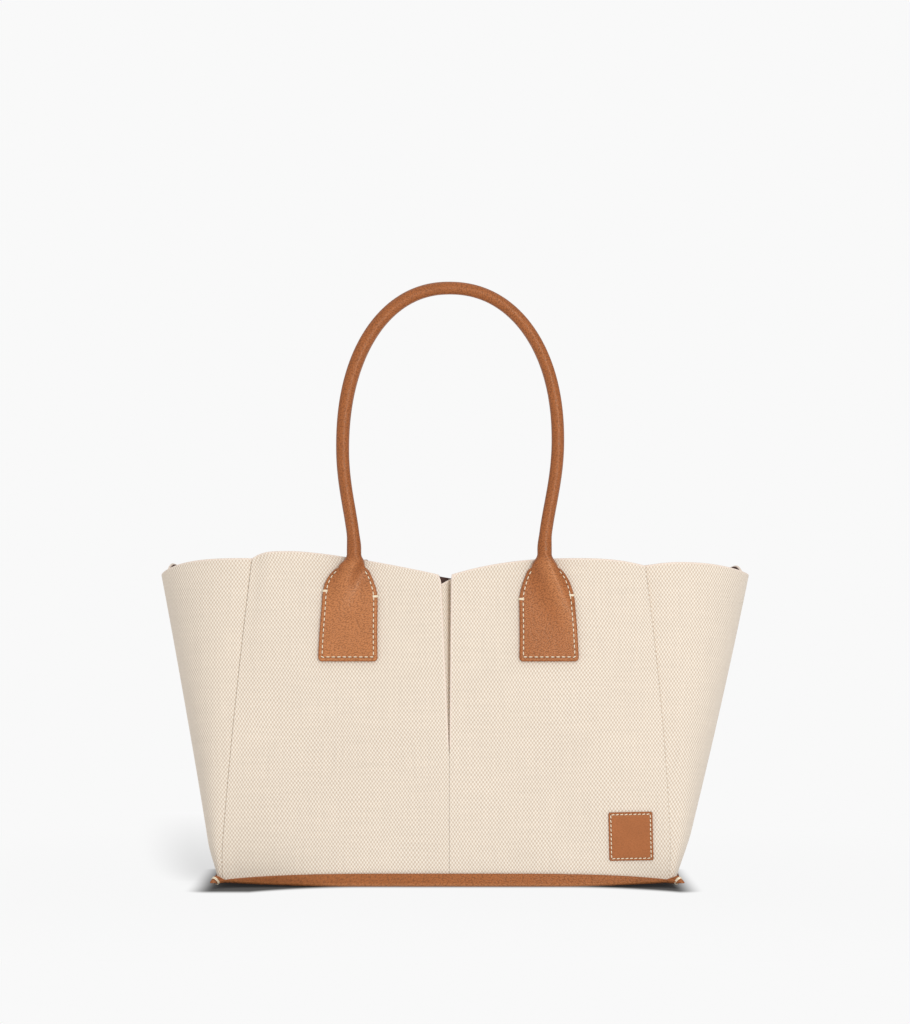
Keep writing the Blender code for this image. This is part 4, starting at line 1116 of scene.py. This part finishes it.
handleForm = dict(
    rootHalfSpan=0.0751,
    tabSplay=0.0037,
    tabTop=0.2515,
    tabShoulder=0.2250,
    tabBottom=0.1775,
    bottomHalfWidth=0.0235,
    shoulderHalfWidth=0.0220,
    topHalfWidth=0.0106,
    corner=0.0032,
    tabThickness=0.0030,
    tabTopThickness=0.0108,
    tabEdgeRound=0.0012,
    # Painted shade on each tab, most on the right one, which less light falls on
    tabPaintedShade={left: 0.02, right: 0.67},
    shadeAndPatinaRise=0.035,
    asideLow={left: -0.0010, right: -0.0003},
    asideHigh={left: -0.0016, right: 0.0008},
    asideHeight=0.2435,
    asideWidth=0.0125,
    asideEnd=(0.2525, 0.2590),
    crestHeight=0.2577,
    crestStart={left: 0.0010, right: 0.0014},
    crestSlope={left: -0.296, right: 0.313},
    crestFoot={left: 0.2080, right: 0.1860},
    crestPower=1.8,
    crestRound=2.5,
    # Painted highlight along the fold's crest, and how narrow it is
    crestHighlight=1.0,
    crestHighlightPower=4,
    crestWidth={left: (0.0100, 0.0078), right: (0.0130, 0.0080)},
    shoulderPower={left: 2.0, right: 1.4},
    shoulderRound=0.5,
    neckLength=0.0150,
    neckRound=0.70,
    flatRise=0.008,
    foldLength=0.0060,
    foldThickness=0.0040,
    foldHalfWidth=0.0080,
    creaseRise=0.0020,
    creaseStandoff=0.0016,
    tubeRadius=0.0050,
    rootRadius=0.0057,
    rootFlare=0.0120,
    tubeSwell=0.12,
    swellPlace=0.31,
    swellWidth=0.13,
    spread={left: 0.0091, right: 0.0106},
    leanPower=0.845,
    legLength={left: 0.0790, right: 0.0855},
    archTop=0.2057,
    squareness=2.16,
    hangAngle={front: 0.0, back: math.radians(178)},
    backShare=-0.2,
    around=72,
    tabRows=46,
    edgeRows=7,
    cornerRows=12,
    neckRows=30,
    tubeRows=220,
    pathPoints=(80, 240),
)


def crestClimb(side, z):
    # 0 at the foot of the fold's crest to 1 at the tab's top.
    foot = handleForm["crestFoot"][side]
    return np.clip((z - foot) / (handleForm["tabTop"] - foot), 0, 1)


def tabHalfWidth(side, z):
    # Straight sides, then shoulders that close on the neck, half power curve and half circle; the
    # lower corners are quarter circles.
    form = handleForm
    climb = np.clip((z - form["tabBottom"]) / (form["tabShoulder"] - form["tabBottom"]), 0, 1)
    width = mix(form["bottomHalfWidth"], form["shoulderHalfWidth"], climb)
    past = np.clip((z - form["tabShoulder"]) / (form["tabTop"] - form["tabShoulder"]), 0, 1)
    bent = mix(past ** form["shoulderPower"][side], 1 - np.sqrt(1 - past**2), form["shoulderRound"])
    width = mix(width, form["topHalfWidth"], bent)
    corner = np.clip((form["tabBottom"] + form["corner"] - z) / form["corner"], 0, 1)
    return width - form["corner"] * (1 - np.sqrt(1 - corner**2))


def tabMiddle(side, z):
    # Middle of a tab: splayed outwards to the bottom, and pushed aside a little, most under the neck.
    form = handleForm
    share = np.clip((z - form["tabBottom"]) / (form["tabTop"] - form["tabBottom"]), 0, 1)
    bell = np.exp(-(((z - form["asideHeight"]) / form["asideWidth"]) ** 2))
    low, high = form["asideEnd"]
    aside = form["asideLow"][side] + form["asideHigh"][side] * bell
    aside = aside * (1 - smoothStep((z - low) / (high - low)))
    return side * (form["rootHalfSpan"] + form["tabSplay"] * (1 - share**2)) + aside


def tabRidge(side, z):
    # Thickness along the fold's crest, a power of the height: flat leather low down, a tube at the top.
    climb = crestClimb(side, z) ** handleForm["crestPower"]
    return mix(handleForm["tabThickness"], handleForm["tabTopThickness"], climb)


def foldShape(side, across, z):
    # exp(-|distance / width|^n) across the crest, which slants down from the neck; wider on its left.
    form = handleForm
    fall = np.maximum(form["crestHeight"] - z, 0)
    crest = form["crestStart"][side] + form["crestSlope"][side] * fall
    wide, narrow = form["crestWidth"][side]
    aside = np.abs((across - crest) / np.where(across < crest, wide, narrow))
    return np.exp(-(aside ** form["crestRound"]))


def strapSection(cosine, across, width, edge, hump, corner):
    # Out = edge / 2 +- half thickness + the hump in front; a corner radius as large as the width,
    # with an edge twice that and no hump, makes a circle.
    half = edge / 2 * roundEdge(width - np.abs(across), corner)
    return edge / 2 + np.where(cosine >= 0, half + hump * half / (edge / 2), -half)


def flatPlane(face):
    # Distance from the bag's middle plane to the leather's back at the neck.
    return halfDepth(handleForm["rootHalfSpan"], handleForm["tabTop"], 0 * face) + bodyForm["gap"]


def creaseLine(face):
    # Distance from the middle plane and height of the line that the handle turns about.
    form = handleForm
    away = flatPlane(face) + 2 * form["rootRadius"] + form["creaseStandoff"]
    return away, form["tabTop"] + form["creaseRise"]


def tubePath():
    # Middle line of the standing handle, by height above the root: on each side a cosine lean out to
    # the widest point, then a quarter of |x / a|^n + |z / b|^n = 1 to the top, at even distances.
    form, power, halves = handleForm, 2 / handleForm["squareness"], []
    low, high = form["pathPoints"]
    lean, turn = np.linspace(0, 1, low)[:-1], np.linspace(0, np.pi / 2, high)
    for side in sides:
        spread, leg = form["spread"][side], form["legLength"][side]
        lowX = form["rootHalfSpan"] + spread * (1 - np.cos(np.pi * lean ** form["leanPower"])) / 2
        highX = (form["rootHalfSpan"] + spread) * np.clip(np.cos(turn), 0, None) ** power
        highZ = leg + (form["archTop"] - leg) * np.sin(turn) ** power
        x, z = np.concatenate([lowX, highX]), np.concatenate([leg * lean, highZ])
        halves.append(np.stack([side * x, z], axis=1))
    path = np.concatenate([halves[0], halves[1][::-1][1:]])
    lengths = lengthsAlong(path, 0)
    even = np.linspace(0, lengths[-1], form["tubeRows"])
    path = np.stack([np.interp(even, lengths, path[:, axis]) for axis in (0, 1)], axis=1)
    return path + (0, form["tabTop"] + form["neckLength"])


tabStitches = dict(
    inset=0.0031,
    topInset=0.0024,
    pitch=0.0043,
    rise=0.0001,
    topGap=0.001,
    neckHalfWidth=0.0082,
    linePoints=(120, 60),
)


def stitchInset(z):
    # The stitches run nearer to the edge towards the neck.
    form = handleForm
    climb = smoothStep((z - form["tabShoulder"]) / (form["tabTop"] - form["tabShoulder"]))
    return mix(tabStitches["inset"], tabStitches["topInset"], climb)


def legRings(face, side):
    # Tab and neck, from the tab's lower edge up, one ring a row: places (x, distance from the middle
    # plane, z), share folded over the crease, distance from the cut edge, stitch row, and share of painted
    # shade and patina less a painted highlight.
    form = handleForm
    root, top, bottom = form["rootRadius"], form["tabTop"], form["tabBottom"]
    turn = np.linspace(-np.pi, np.pi, form["around"] + 1)[None, :]
    start = form["tabEdgeRound"] * (1 - np.cos(np.linspace(0, np.pi / 2, form["edgeRows"])))
    tabZ = bottom + np.concatenate([start, np.linspace(start[-1], top - bottom, form["tabRows"])[1:]])
    corners = form["corner"] * np.linspace(0, 1, form["cornerRows"])[1:-1] ** 2 + bottom
    neckZ = top + form["neckLength"] * np.linspace(0, 1, form["neckRows"])[1:]
    z = np.concatenate([np.unique(np.concatenate([tabZ, corners])), neckZ])[:, None]
    fade = smoothStep((z - top) / form["neckLength"] / form["neckRound"])
    folded = smoothStep((z - top) / form["foldLength"])
    pinch = np.sin(np.pi * folded) if form["hangAngle"][face] else 0 * z

    def blended(tab, neck, fold):
        # From tab to neck, and flattened where the hanging handle folds.
        return mix(mix(tab, neck, fade), fold, pinch)

    width = blended(tabHalfWidth(side, z), root, form["foldHalfWidth"])
    edge = blended(form["tabThickness"], 2 * root, form["foldThickness"])
    ridge = blended(tabRidge(side, z), 2 * root, form["foldThickness"])
    corner = blended(form["tabEdgeRound"], root, form["foldThickness"] / 2)
    across, cosine = np.sin(turn) * width, np.cos(turn)
    fold = foldShape(side, across, z)
    out = strapSection(cosine, across, width, edge, (ridge - edge) * fold, corner)
    out = edge / 2 + (out - edge / 2) * roundEdge(z - bottom, form["tabEdgeRound"])
    x = tabMiddle(side, z) + across
    flat = smoothStep((z - top + form["flatRise"]) / form["flatRise"])
    wall = mix(halfDepth(x, np.minimum(z, top), face) + bodyForm["gap"], flatPlane(face), flat)
    away = wall + out + pinch * (2 * root - form["foldThickness"])
    inside = np.minimum(width - np.abs(across), z - bottom)
    border = np.where(cosine < form["backShare"], 0.0, np.where(z > top, 1.0, inside))
    seam = 1 + (inside - stitchInset(z)) * rowScale
    seam = np.where((z > top - tabStitches["topGap"]) | (cosine < 0), 0.0, seam)
    # Painted shade: the whole right tab darker, and from the shoulder up darker still, towards the tube's
    # patina and painted shade
    shadeAndPatinaShare = mix(form["tabPaintedShade"][side], 1, smoothStep((z - form["tabShoulder"]) / form["shadeAndPatinaRise"]))
    # Painted highlight: paler along the fold's crest, where the key light's highlight falls
    paintedHighlight = form["crestHighlight"] * fold ** form["crestHighlightPower"] * np.sqrt(crestClimb(side, z)) * (1 - fade)
    return np.stack([x, away, z + 0 * x], axis=-1), folded[:, 0], border, seam, shadeAndPatinaShare * (1 - paintedHighlight)


def makeHandle(face, word):
    # Left leg, tube and right leg as one ring after another; a ring turns by hang angle * share folded.
    form, root = handleForm, handleForm["rootRadius"]
    turn = np.linspace(-np.pi, np.pi, form["around"] + 1)[None, :]
    path = tubePath()
    along = np.gradient(path, axis=0)
    along /= np.linalg.norm(along, axis=1, keepdims=True)
    along[0], along[-1] = (0, 1), (0, -1)
    climb = (path[:, 1] - form["tabTop"] - form["neckLength"]) / form["rootFlare"]
    share = (np.linspace(0, 1, len(path)) - form["swellPlace"]) / form["swellWidth"]
    radius = form["tubeRadius"] * (1 + form["tubeSwell"] * np.exp(-(share**2)))
    radius = mix(root, radius, smoothStep(climb))[:, None]
    across = radius * np.sin(turn)
    x, z = path[:, :1] + along[:, 1:] * across, path[:, 1:] - along[:, :1] * across
    tube = np.stack([x, flatPlane(face) + root + radius * np.cos(turn), z], axis=-1)[1:-1]
    ones = np.ones(tube.shape[:2])
    # The tube takes the full share of painted shade and patina
    middles = tube, ones[:, 0], form["tubeRadius"] * (np.pi - np.abs(turn)) * ones, 0 * ones, ones
    joined = []
    for first, middle, last in zip(legRings(face, left), middles, legRings(face, right)):
        last = last[::-1] if last.ndim == 1 else last[::-1, ::-1]  # the ring runs the other way round
        joined.append(np.concatenate([first, middle, last]))
    points, folded, border, seam, shadeAndPatinaShare = joined
    lengths = lengthsAlong(points, 1)
    middle = lengths.shape[1] // 2
    lengths = lengths - lengths[:, middle : middle + 1]
    run = lengthsAlong(points[:, middle : middle + 1], 0)
    cloth = np.stack([lengths, np.broadcast_to(run, lengths.shape)], axis=-1)
    # The hanging handle is the standing one turned over the crease, ring by ring
    creaseY, creaseZ = creaseLine(face)
    angle = (form["hangAngle"][face] * folded)[:, None]
    towards, up = creaseY - points[..., 1], points[..., 2] - creaseZ
    y = face * (creaseY - towards * np.cos(angle) + up * np.sin(angle))
    z = creaseZ + up * np.cos(angle) + towards * np.sin(angle)
    placed = np.stack([points[..., 0], y, z], axis=-1)
    weight = np.broadcast_to(folded[:, None], lengths.shape)
    values = {"cutEdge": [border], "stitchRow": [seam], "shadeAndPatina": [shadeAndPatinaShare], "foldShare": [weight]}
    made = makePiece(f"{word}HandleLeather", [placed], [cloth], values)
    nodes = [f"{word}_{part}_{sides[side]}" for part in ("tab", "handle_neck") for side in sides]
    dress(made, leather, "leather", [f"{word}_handle_cover", *nodes], body=None)
    start, end = [(0, face * creaseY, form["tabTop"] + rise) for rise in (0, form["foldLength"])]
    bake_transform(made)
    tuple(start)
    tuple(end)
    # The share folded, by the length along the strap, which a straight line can't give where the strap hangs,
    # is read back
    share = np.zeros(len(made.data.vertices), np.float32)
    made.data.attributes["foldShare"].data.foreach_get("value", share)


for face, word in ((front, "front"), (back, "rear")):
    makeHandle(face, word)
print("handles made")

# Stitches: each is a small capsule laid on the leather, all of one seam in one mesh

stitchForm = dict(length=0.0031, radius=0.00042, flat=0.75, endPower=0.6, around=6, rings=5)


def makeStitches(name, centres, alongs, normals, length, radius):
    # Capsule points = centre + along * X + cross * Y + normal * Z for the unit shape at each place.
    ring = np.linspace(0, 2 * np.pi, stitchForm["around"] + 1)[None, :]
    tilt = np.linspace(-np.pi / 2, np.pi / 2, stitchForm["rings"])[:, None]
    swell = np.cos(tilt) ** stitchForm["endPower"]
    unit = np.stack(
        [
            np.sin(tilt) * length / 2 + 0 * ring,
            swell * np.cos(ring) * radius,
            swell * np.sin(ring) * radius * stitchForm["flat"],
        ],
        axis=-1,
    )
    crosses = np.cross(normals, alongs)
    grids = [centre + unit @ np.stack(axes) for centre, *axes in zip(centres, alongs, crosses, normals)]
    dress(makePiece(name, grids, [unit[..., :2]] * len(grids)), thread, "cord")


def tabSurface(face, side, x, z):
    # Outer surface of a tab at points of the front view.
    form, across = handleForm, x - tabMiddle(side, z)
    hump = (tabRidge(side, z) - form["tabThickness"]) * foldShape(side, across, z)
    width, thick = tabHalfWidth(side, z), form["tabThickness"]
    out = strapSection(1.0, across, width, thick, hump, form["tabEdgeRound"])
    return np.stack([x, face * (halfDepth(x, z, face) + bodyForm["gap"] + out), z], axis=-1)


def spaced(path, pitch):
    # Even places along a path of points, and the direction there.
    lengths = lengthsAlong(path, 0)
    count = max(int(round(lengths[-1] / pitch)), 1)
    places = (np.arange(count) + 0.5) * lengths[-1] / count

    def at(distance):
        return np.stack([np.interp(distance, lengths, column) for column in path.T], axis=1)

    step = lengths[-1] / count / 4
    direction = at(places + step) - at(places - step)
    return at(places), direction / np.linalg.norm(direction, axis=1, keepdims=True)


def tabSeamLine(side):
    # The tab's outline, from the neck down, along the bottom and up, moved inwards by the inset.
    bottom, stitches = handleForm["tabBottom"], tabStitches
    down, level = stitches["linePoints"]
    z = np.linspace(handleForm["tabTop"], bottom + stitches["inset"], down)
    inset, width = stitchInset(z), tabHalfWidth(side, z)
    run = np.concatenate([[0], np.cumsum(np.hypot(np.diff(z), np.diff(width)))])
    slope, fall = np.gradient(width, run), np.gradient(z, run)
    inner = np.stack([width + inset * fall, z - inset * slope], axis=1)
    keep = (inner[:, 1] > bottom + inset) & (inner[:, 0] < width - inset * 0.5)
    inner = inner[keep & (inner[:, 0] > stitches["neckHalfWidth"])]
    x, z = inner[-1]
    bottom = np.stack([np.linspace(x, -x, level), np.full(level, z)], axis=1)[1:-1]
    line = np.concatenate([inner, bottom, inner[::-1] * (-1, 1)])
    return np.stack([line[:, 0] + tabMiddle(side, line[:, 1]), line[:, 1]], axis=1)


def surfaceFrame(surface, points, directions, step=0.0004):
    # Place, direction and normal on a surface function of (x, z), for directions in the front view.
    def slope(ways):
        return surface(*(points + ways * step).T) - surface(*(points - ways * step).T)

    centre, along, other = surface(*points.T), slope(directions), slope(directions[:, ::-1] * (-1, 1))
    along /= np.linalg.norm(along, axis=1, keepdims=True)
    normal = np.cross(along, other)
    normal /= np.linalg.norm(normal, axis=1, keepdims=True)
    outward = np.where(normal[:, 1:2] * np.sign(centre[:, 1:2]) < 0, -1, 1)
    return centre, along, normal * outward


def makeTabStitches(face, word):
    # Evenly spaced along the seam line, a little proud of the leather.
    for side in sides:
        places, directions = spaced(tabSeamLine(side), tabStitches["pitch"])
        centre, along, normal = surfaceFrame(lambda x, z: tabSurface(face, side, x, z), places, directions)
        centre = centre + normal * tabStitches["rise"]
        name = f"{word}TabStitches{sides[side].title()}"
        makeStitches(name, centre, along, normal, stitchForm["length"], stitchForm["radius"])


# Bar tacks: two threads side by side from the stitch row out over the tab's edge, by (tab, edge)
barTack = dict(
    height={(left, left): 0.2331, (left, right): 0.2287, (right, left): 0.2266, (right, right): 0.2296},
    inset=0.0040,
    rise=0.0002,
    points=11,
    over=((0.0, 0.0012), (-0.0001, 0.0007), (-0.0002, 0.0001)),
    radius=0.00048,
    pitch=0.0008,
)


def makeBarTacks(face, word):
    # Each thread runs on the leather to its edge, then down over it by (inset, distance out) points.
    form, tubes = barTack, []
    down, out = np.array(form["over"]).T
    inset = np.concatenate([np.linspace(form["inset"], form["rise"], form["points"]), down])
    for (side, edge), height in form["height"].items():
        for place in (-0.5, 0.5):
            z = np.full(len(inset), height + place * form["pitch"])
            x = tabMiddle(side, z) + edge * (tabHalfWidth(side, z) - inset)
            path = tabSurface(face, side, x, z)
            path[:, 1] += face * np.where(inset > 0, form["rise"], 0)
            path[-len(out) :, 1] = face * (halfDepth(x, z, face)[-len(out) :] + out)
            tubes.append(threadTube(path, np.array([0.0, 0.0, 1.0]), form["radius"]))
    makeThreads(f"{word}BarTacks", tubes)


for face, word in ((front, "front"), (back, "rear")):
    makeTabStitches(face, word)
    makeBarTacks(face, word)
print("tab stitches made")

# Label patch: a bare piece of smoother leather, held by a row of stitches in a shallow groove

patchForm = dict(
    centreX=0.1427,
    centreZ=0.0402,
    width=0.0346,
    height=0.0382,
    thickness=0.0014,
    corner=0.0015,
    leastCorner=0.0002,
    cornerShares=(0.3, 0.7),
    edgeRound=0.0006,
    tilt=math.radians(-1.3),
    groove=0.0018,
    grooveDepth=0.00022,
    grooveWidth=0.0006,
    grooveRings=(0.0007, 0.0032, 22),
    innerRings=(0.006, 0.010, 0.0145),
    around=145,
    edgeRings=6,
    stitchPitch=0.0036,
    stitchLength=0.0028,
    stitchRadius=0.00044,
    slant=0.16,
)


def turned(x, z, angle):
    # x and z turned by an angle, from x towards z.
    cosine, sine = math.cos(angle), math.sin(angle)
    return x * cosine - z * sine, x * sine + z * cosine


def patchPlace(plan, height):
    # Turns a point of the flat patch by its tilt and lays it on the front panel.
    x, z = turned(plan[..., 0], plan[..., 1], -patchForm["tilt"])
    x, z = patchForm["centreX"] + x, patchForm["centreZ"] + z
    return np.stack([x, -(halfDepth(x, z, front) + bodyForm["gap"] + height), z], axis=-1)


def patchRing(inset):
    # The rounded rectangle's outline at an inset: each corner a quarter circle about its centre, with
    # straight slides before and after it.
    form = patchForm
    turn = np.linspace(0, 2 * np.pi, form["around"])
    quarter = np.floor(np.clip(turn / (np.pi / 2), 0, 3.999))
    share = turn / (np.pi / 2) - quarter
    signX, signZ = np.where((quarter == 0) | (quarter == 3), 1, -1), np.where(quarter < 2, 1, -1)
    low, high = form["cornerShares"]
    angle = (quarter + smoothStep((share - low) / (high - low))) * np.pi / 2
    radius = max(form["corner"] - inset, form["leastCorner"])
    halfX, halfZ = [form[size] / 2 - inset - radius for size in ("width", "height")]
    before, after = np.clip((low - share) / low, 0, 1), np.clip((share - high) / (1 - high), 0, 1)
    even = quarter % 2 == 0
    x = signX * halfX * (1 - np.where(even, after, before)) + radius * np.cos(angle)
    z = signZ * halfZ * (1 - np.where(even, before, after)) + radius * np.sin(angle)
    return np.stack([x, z], axis=-1)


def makePatch():
    # Rings from the edge to the middle: rounded edge, full thickness, less a bell-shaped groove.
    form = patchForm
    edge = form["edgeRound"] * (1 - np.cos(np.linspace(0, np.pi / 2, form["edgeRings"])))
    insets = np.concatenate([edge, np.linspace(*form["grooveRings"]), form["innerRings"]])
    height = form["thickness"] * roundEdge(insets, form["edgeRound"])
    groove = np.exp(-(((insets - form["groove"]) / form["grooveWidth"]) ** 2))
    height = np.maximum(height - form["grooveDepth"] * groove, 0)
    rings = np.stack([patchRing(inset) for inset in insets])
    middle = np.zeros((1, rings.shape[1], 2))
    under, top, centre = [
        patchPlace(*part) for part in ((middle, 0.0), (rings, height[:, None]), (middle, form["thickness"]))
    ]
    grid = np.concatenate([under, top, centre])
    cut = np.concatenate([[0.0], insets, [1.0]])[:, None] + 0 * grid[..., 0]
    values = {"cutEdge": [cut], "stitchRow": [np.clip(1 + (cut - form["groove"]) * rowScale, 0, 3)]}
    made = makePiece("labelPatch", [grid], [np.concatenate([middle, rings, middle])], values)
    dress(made, patchLeather, "leather", ["label_patch"])
    half = np.array([form["width"], form["height"]]) / 2 - form["groove"]
    corners = half * [(1, 1), (-1, 1), (-1, -1), (1, -1), (1, 1)]
    rows = [spaced(np.stack(pair), form["stitchPitch"]) for pair in zip(corners[:-1], corners[1:])]
    places, directions = [np.concatenate(parts) for parts in zip(*rows)]
    directions = np.stack(turned(*directions.T, form["slant"]), axis=1)

    def surface(x, z):
        return patchPlace(np.stack([x, z], axis=-1), form["thickness"] - form["grooveDepth"])

    frames = surfaceFrame(surface, places, directions)
    makeStitches("patchStitches", *frames, form["stitchLength"], form["stitchRadius"])


makePatch()
print("patch made")

# Hidden pieces stay as their CAD nodes, with finishes of their own
hiddenFinishes = {"base_board": board, "handle_core": cord, "tab_backing": backing}
for nodeName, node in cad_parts.items():
    for key, finish in hiddenFinishes.items():
        if key in nodeName:
            for place in node.material_slots:
                place.material = finish


# Floor, light and camera: the floor glows evenly in the backdrop's shade, and near the bag a dark lit
# surface shows instead, a painted contact shadow; a painted soft shade lies behind the bag

studio = dict(
    background=0.947,
    even=0.355,
    fromFront=0.67,
    fromTop=0.60,
    keyLight=dict(strength=1.02, width=0.34, height=1.3, distance=1.9, azimuth=20, elevation=11),
    rightLight=dict(strength=0.10, angle=40, azimuth=62, elevation=25),
    leftLight=dict(strength=0.11, angle=40, azimuth=-66, elevation=20),
    aimHeight=0.25,
    # Colour of the dark lit surface that shows where the contact shadow is painted
    paintedShadowColour=(0.10, 0.10, 0.10, 1),
    glow=0.985,
    glowUnder=0.02,
    glowStart=(0.180, 0.0615),
    glowMiddle=-0.004,
    endDark=(0.077, 4.6),
    endReach=0.09,
    endMiddle=0.012,
    endFade=0.02,
    glowWidth=0.023,
    glowFar=0.45,
    shadeDepth=(0.05, 0.65),
    shadeAmount=0.26,
    shadeStart=(-0.07, -0.03),
    shadeLeft=(0.222, 0.13, 0.6),
    shadeRight=(0.17, 0.45),
    shadeBlur=0.055,
    cameraPlace=(0.0045, -2.28, 0.234),
    cameraTilt=1.59,
    lens=98.26,
    sensor=36,
    floorColumns=97,
    floorRadii=(0.0, 0.4, 1.0, 3.0, 10.0, 60),
    floorDrop=0.0001,
)


def placeLamp(name, kind, distance=1.0):
    # At an azimuth from straight ahead and an elevation, turned to the middle of the bag.
    data, values = bpy.data.lights.new(name, kind), studio[name]
    azimuth, elevation = math.radians(values["azimuth"]), math.radians(values["elevation"])
    made = bpy.data.objects.new(name, data)
    made.location = (
        distance * math.cos(elevation) * math.sin(azimuth),
        -distance * math.cos(elevation) * math.cos(azimuth),
        distance * math.sin(elevation) + studio["aimHeight"],
    )
    made.rotation_euler = (math.pi / 2 - elevation, 0, azimuth)
    bpy.context.scene.collection.objects.link(made)
    return data, values


def glowBesidePaintedShadow(tree, place):
    # Glow share, low in the painted contact shadow = smooth steps of the distance outside a rectangle whose
    # front side bends outwards at the ends, by k (|x| - start)^2, under the lifted base.
    plans = []
    for middle in (studio["glowMiddle"], studio["endMiddle"]):
        plans.append(onVectors(tree, "ABSOLUTE", onVectors(tree, "SUBTRACT", place, (middle, 0, 0))))
    start, bend = studio["endDark"]
    depth, fade = parted(tree, place)[1], studio["endFade"]
    bend = ranged(tree, depth, -fade, fade, bend, 0.0, "LINEAR")
    past = onVectors(tree, "MAXIMUM", onVectors(tree, "SUBTRACT", plans[1], (start, 0, 0)), (0, 0, 0))
    along = parted(tree, onVectors(tree, "MINIMUM", past, (studio["endReach"], 0, 0)))[0]
    halfLength, halfWidth = studio["glowStart"]
    square = onNumbers(tree, "MULTIPLY", along, along)
    halfWidth = onNumbers(tree, "MULTIPLY_ADD", square, bend, halfWidth)
    corner = addNode(tree, "ShaderNodeCombineXYZ", {}, {0: halfLength, 1: halfWidth}).outputs[0]
    past = onVectors(tree, "MAXIMUM", onVectors(tree, "SUBTRACT", plans[0], corner), (0, 0, 0))
    apart = onVectors(tree, "LENGTH", past)
    near = ranged(tree, apart, 0.0, studio["glowWidth"], studio["glowUnder"], studio["glow"])
    return onNumbers(tree, "ADD", near, ranged(tree, apart, 0.0, studio["glowFar"], 0.0, 1 - studio["glow"]))


def softShade(tree, place):
    # The key light's soft shade behind the bag: amount * steps from its left, right and front sides.
    # The left side leans out by lean * depth^power, the right side in by a share of the depth.
    across, depth, _ = parted(tree, place)
    near, lean, power = studio["shadeLeft"]
    end, slope = studio["shadeRight"]
    start, blur = studio["shadeStart"], studio["shadeBlur"]
    far = onNumbers(tree, "MAXIMUM", onNumbers(tree, "SUBTRACT", depth, start[1]), 0.0)
    leftSide = onNumbers(tree, "MULTIPLY_ADD", onNumbers(tree, "POWER", far, power), lean, across)
    rightSide = onNumbers(tree, "MULTIPLY_ADD", far, slope, across)
    shade = ranged(tree, depth, *studio["shadeDepth"], studio["shadeAmount"], 0.0, "LINEAR")
    for step in ((leftSide, -near, blur - near), (rightSide, end, end - blur), (depth, *start)):
        shade = onNumbers(tree, "MULTIPLY", shade, ranged(tree, *step))
    return shade


def makeFloor():
    # Rings of a wide disc, just under the bag: an even glow, and near the bag a dark surface lit by the
    # lamps, a painted contact shadow with real shade on it.
    turn = np.linspace(0, 2 * np.pi, studio["floorColumns"])
    radius = np.array(studio["floorRadii"])[:, None]
    drop = 0 * radius * turn - studio["floorDrop"]
    grid = np.stack([radius * np.cos(turn), radius * np.sin(turn), drop], axis=-1)
    floor = makePiece("studioFloor", [grid], [grid[..., :2]])
    sockets = {"Roughness": 1.0, "IOR": 1.45, "Base Color": studio["paintedShadowColour"], "Specular IOR Level": 0.0}
    material, tree, shader = newMaterial("glowFloorPaintedShadow", sockets)
    place = addNode(tree, "ShaderNodeTexCoord").outputs["Object"]
    # Painted contact shadow near the bag, and the painted soft shade behind it, lower the glow's share
    share = glowBesidePaintedShadow(tree, place)
    share = onNumbers(tree, "MULTIPLY", share, onNumbers(tree, "SUBTRACT", 1.0, softShade(tree, place)))
    glow = addNode(tree, "ShaderNodeEmission", {}, {"Strength": studio["background"]}).outputs[0]
    both = addNode(tree, "ShaderNodeMixShader", {}, {0: share, 1: shader.outputs[0], 2: glow})
    tree.links.new(both.outputs[0], tree.nodes["Material Output"].inputs["Surface"])
    floor.data.materials.append(material)


def makeWorld():
    # Light = even + front * max(-y, 0)^2 + top * max(z, 0)^2; the camera sees the backdrop's shade.
    world = bpy.data.worlds.new("studioWorld")
    world.use_nodes = True
    tree = world.node_tree
    tree.nodes.clear()
    _, depth, height = parted(tree, addNode(tree, "ShaderNodeTexCoord").outputs["Generated"])
    total = studio["even"]
    for place, sign, gain in ((depth, -1, studio["fromFront"]), (height, 1, studio["fromTop"])):
        towards = onNumbers(tree, "MAXIMUM", onNumbers(tree, "MULTIPLY", place, sign), 0.0)
        total = onNumbers(tree, "MULTIPLY_ADD", onNumbers(tree, "POWER", towards, 2.0), gain, total)
    shades = []
    for strength in (total, studio["background"]):
        inputs = {"Color": (1, 1, 1, 1), "Strength": strength}
        shades.append(addNode(tree, "ShaderNodeBackground", {}, inputs).outputs[0])
    seen = addNode(tree, "ShaderNodeLightPath").outputs["Is Camera Ray"]
    both = addNode(tree, "ShaderNodeMixShader", {}, {0: seen, 1: shades[0], 2: shades[1]})
    addNode(tree, "ShaderNodeOutputWorld", {}, {"Surface": both.outputs[0]})
    bpy.context.scene.world = world


def makeStudio():
    # Three lamps, the floor, the world and a level camera tilted up a little.
    distance = studio["keyLight"]["distance"]
    data, values = placeLamp("keyLight", "AREA", distance)
    data.shape, data.size, data.size_y = "RECTANGLE", values["width"], values["height"]
    data.energy = values["strength"] * math.pi * distance**2
    for name in ("rightLight", "leftLight"):
        data, values = placeLamp(name, "SUN")
        data.energy, data.angle = values["strength"], math.radians(values["angle"])
    makeFloor()
    makeWorld()
    data = bpy.data.cameras.new("photoCamera")
    data.sensor_width, data.lens = studio["sensor"], studio["lens"]
    camera = bpy.data.objects.new("photoCamera", data)
    camera.location = studio["cameraPlace"]
    camera.rotation_euler = (math.radians(90 + studio["cameraTilt"]), 0, 0)
    bpy.context.scene.collection.objects.link(camera)
    bpy.context.scene.camera = camera
    bpy.context.scene.view_settings.view_transform = "Standard"


makeStudio()
print("studio made")
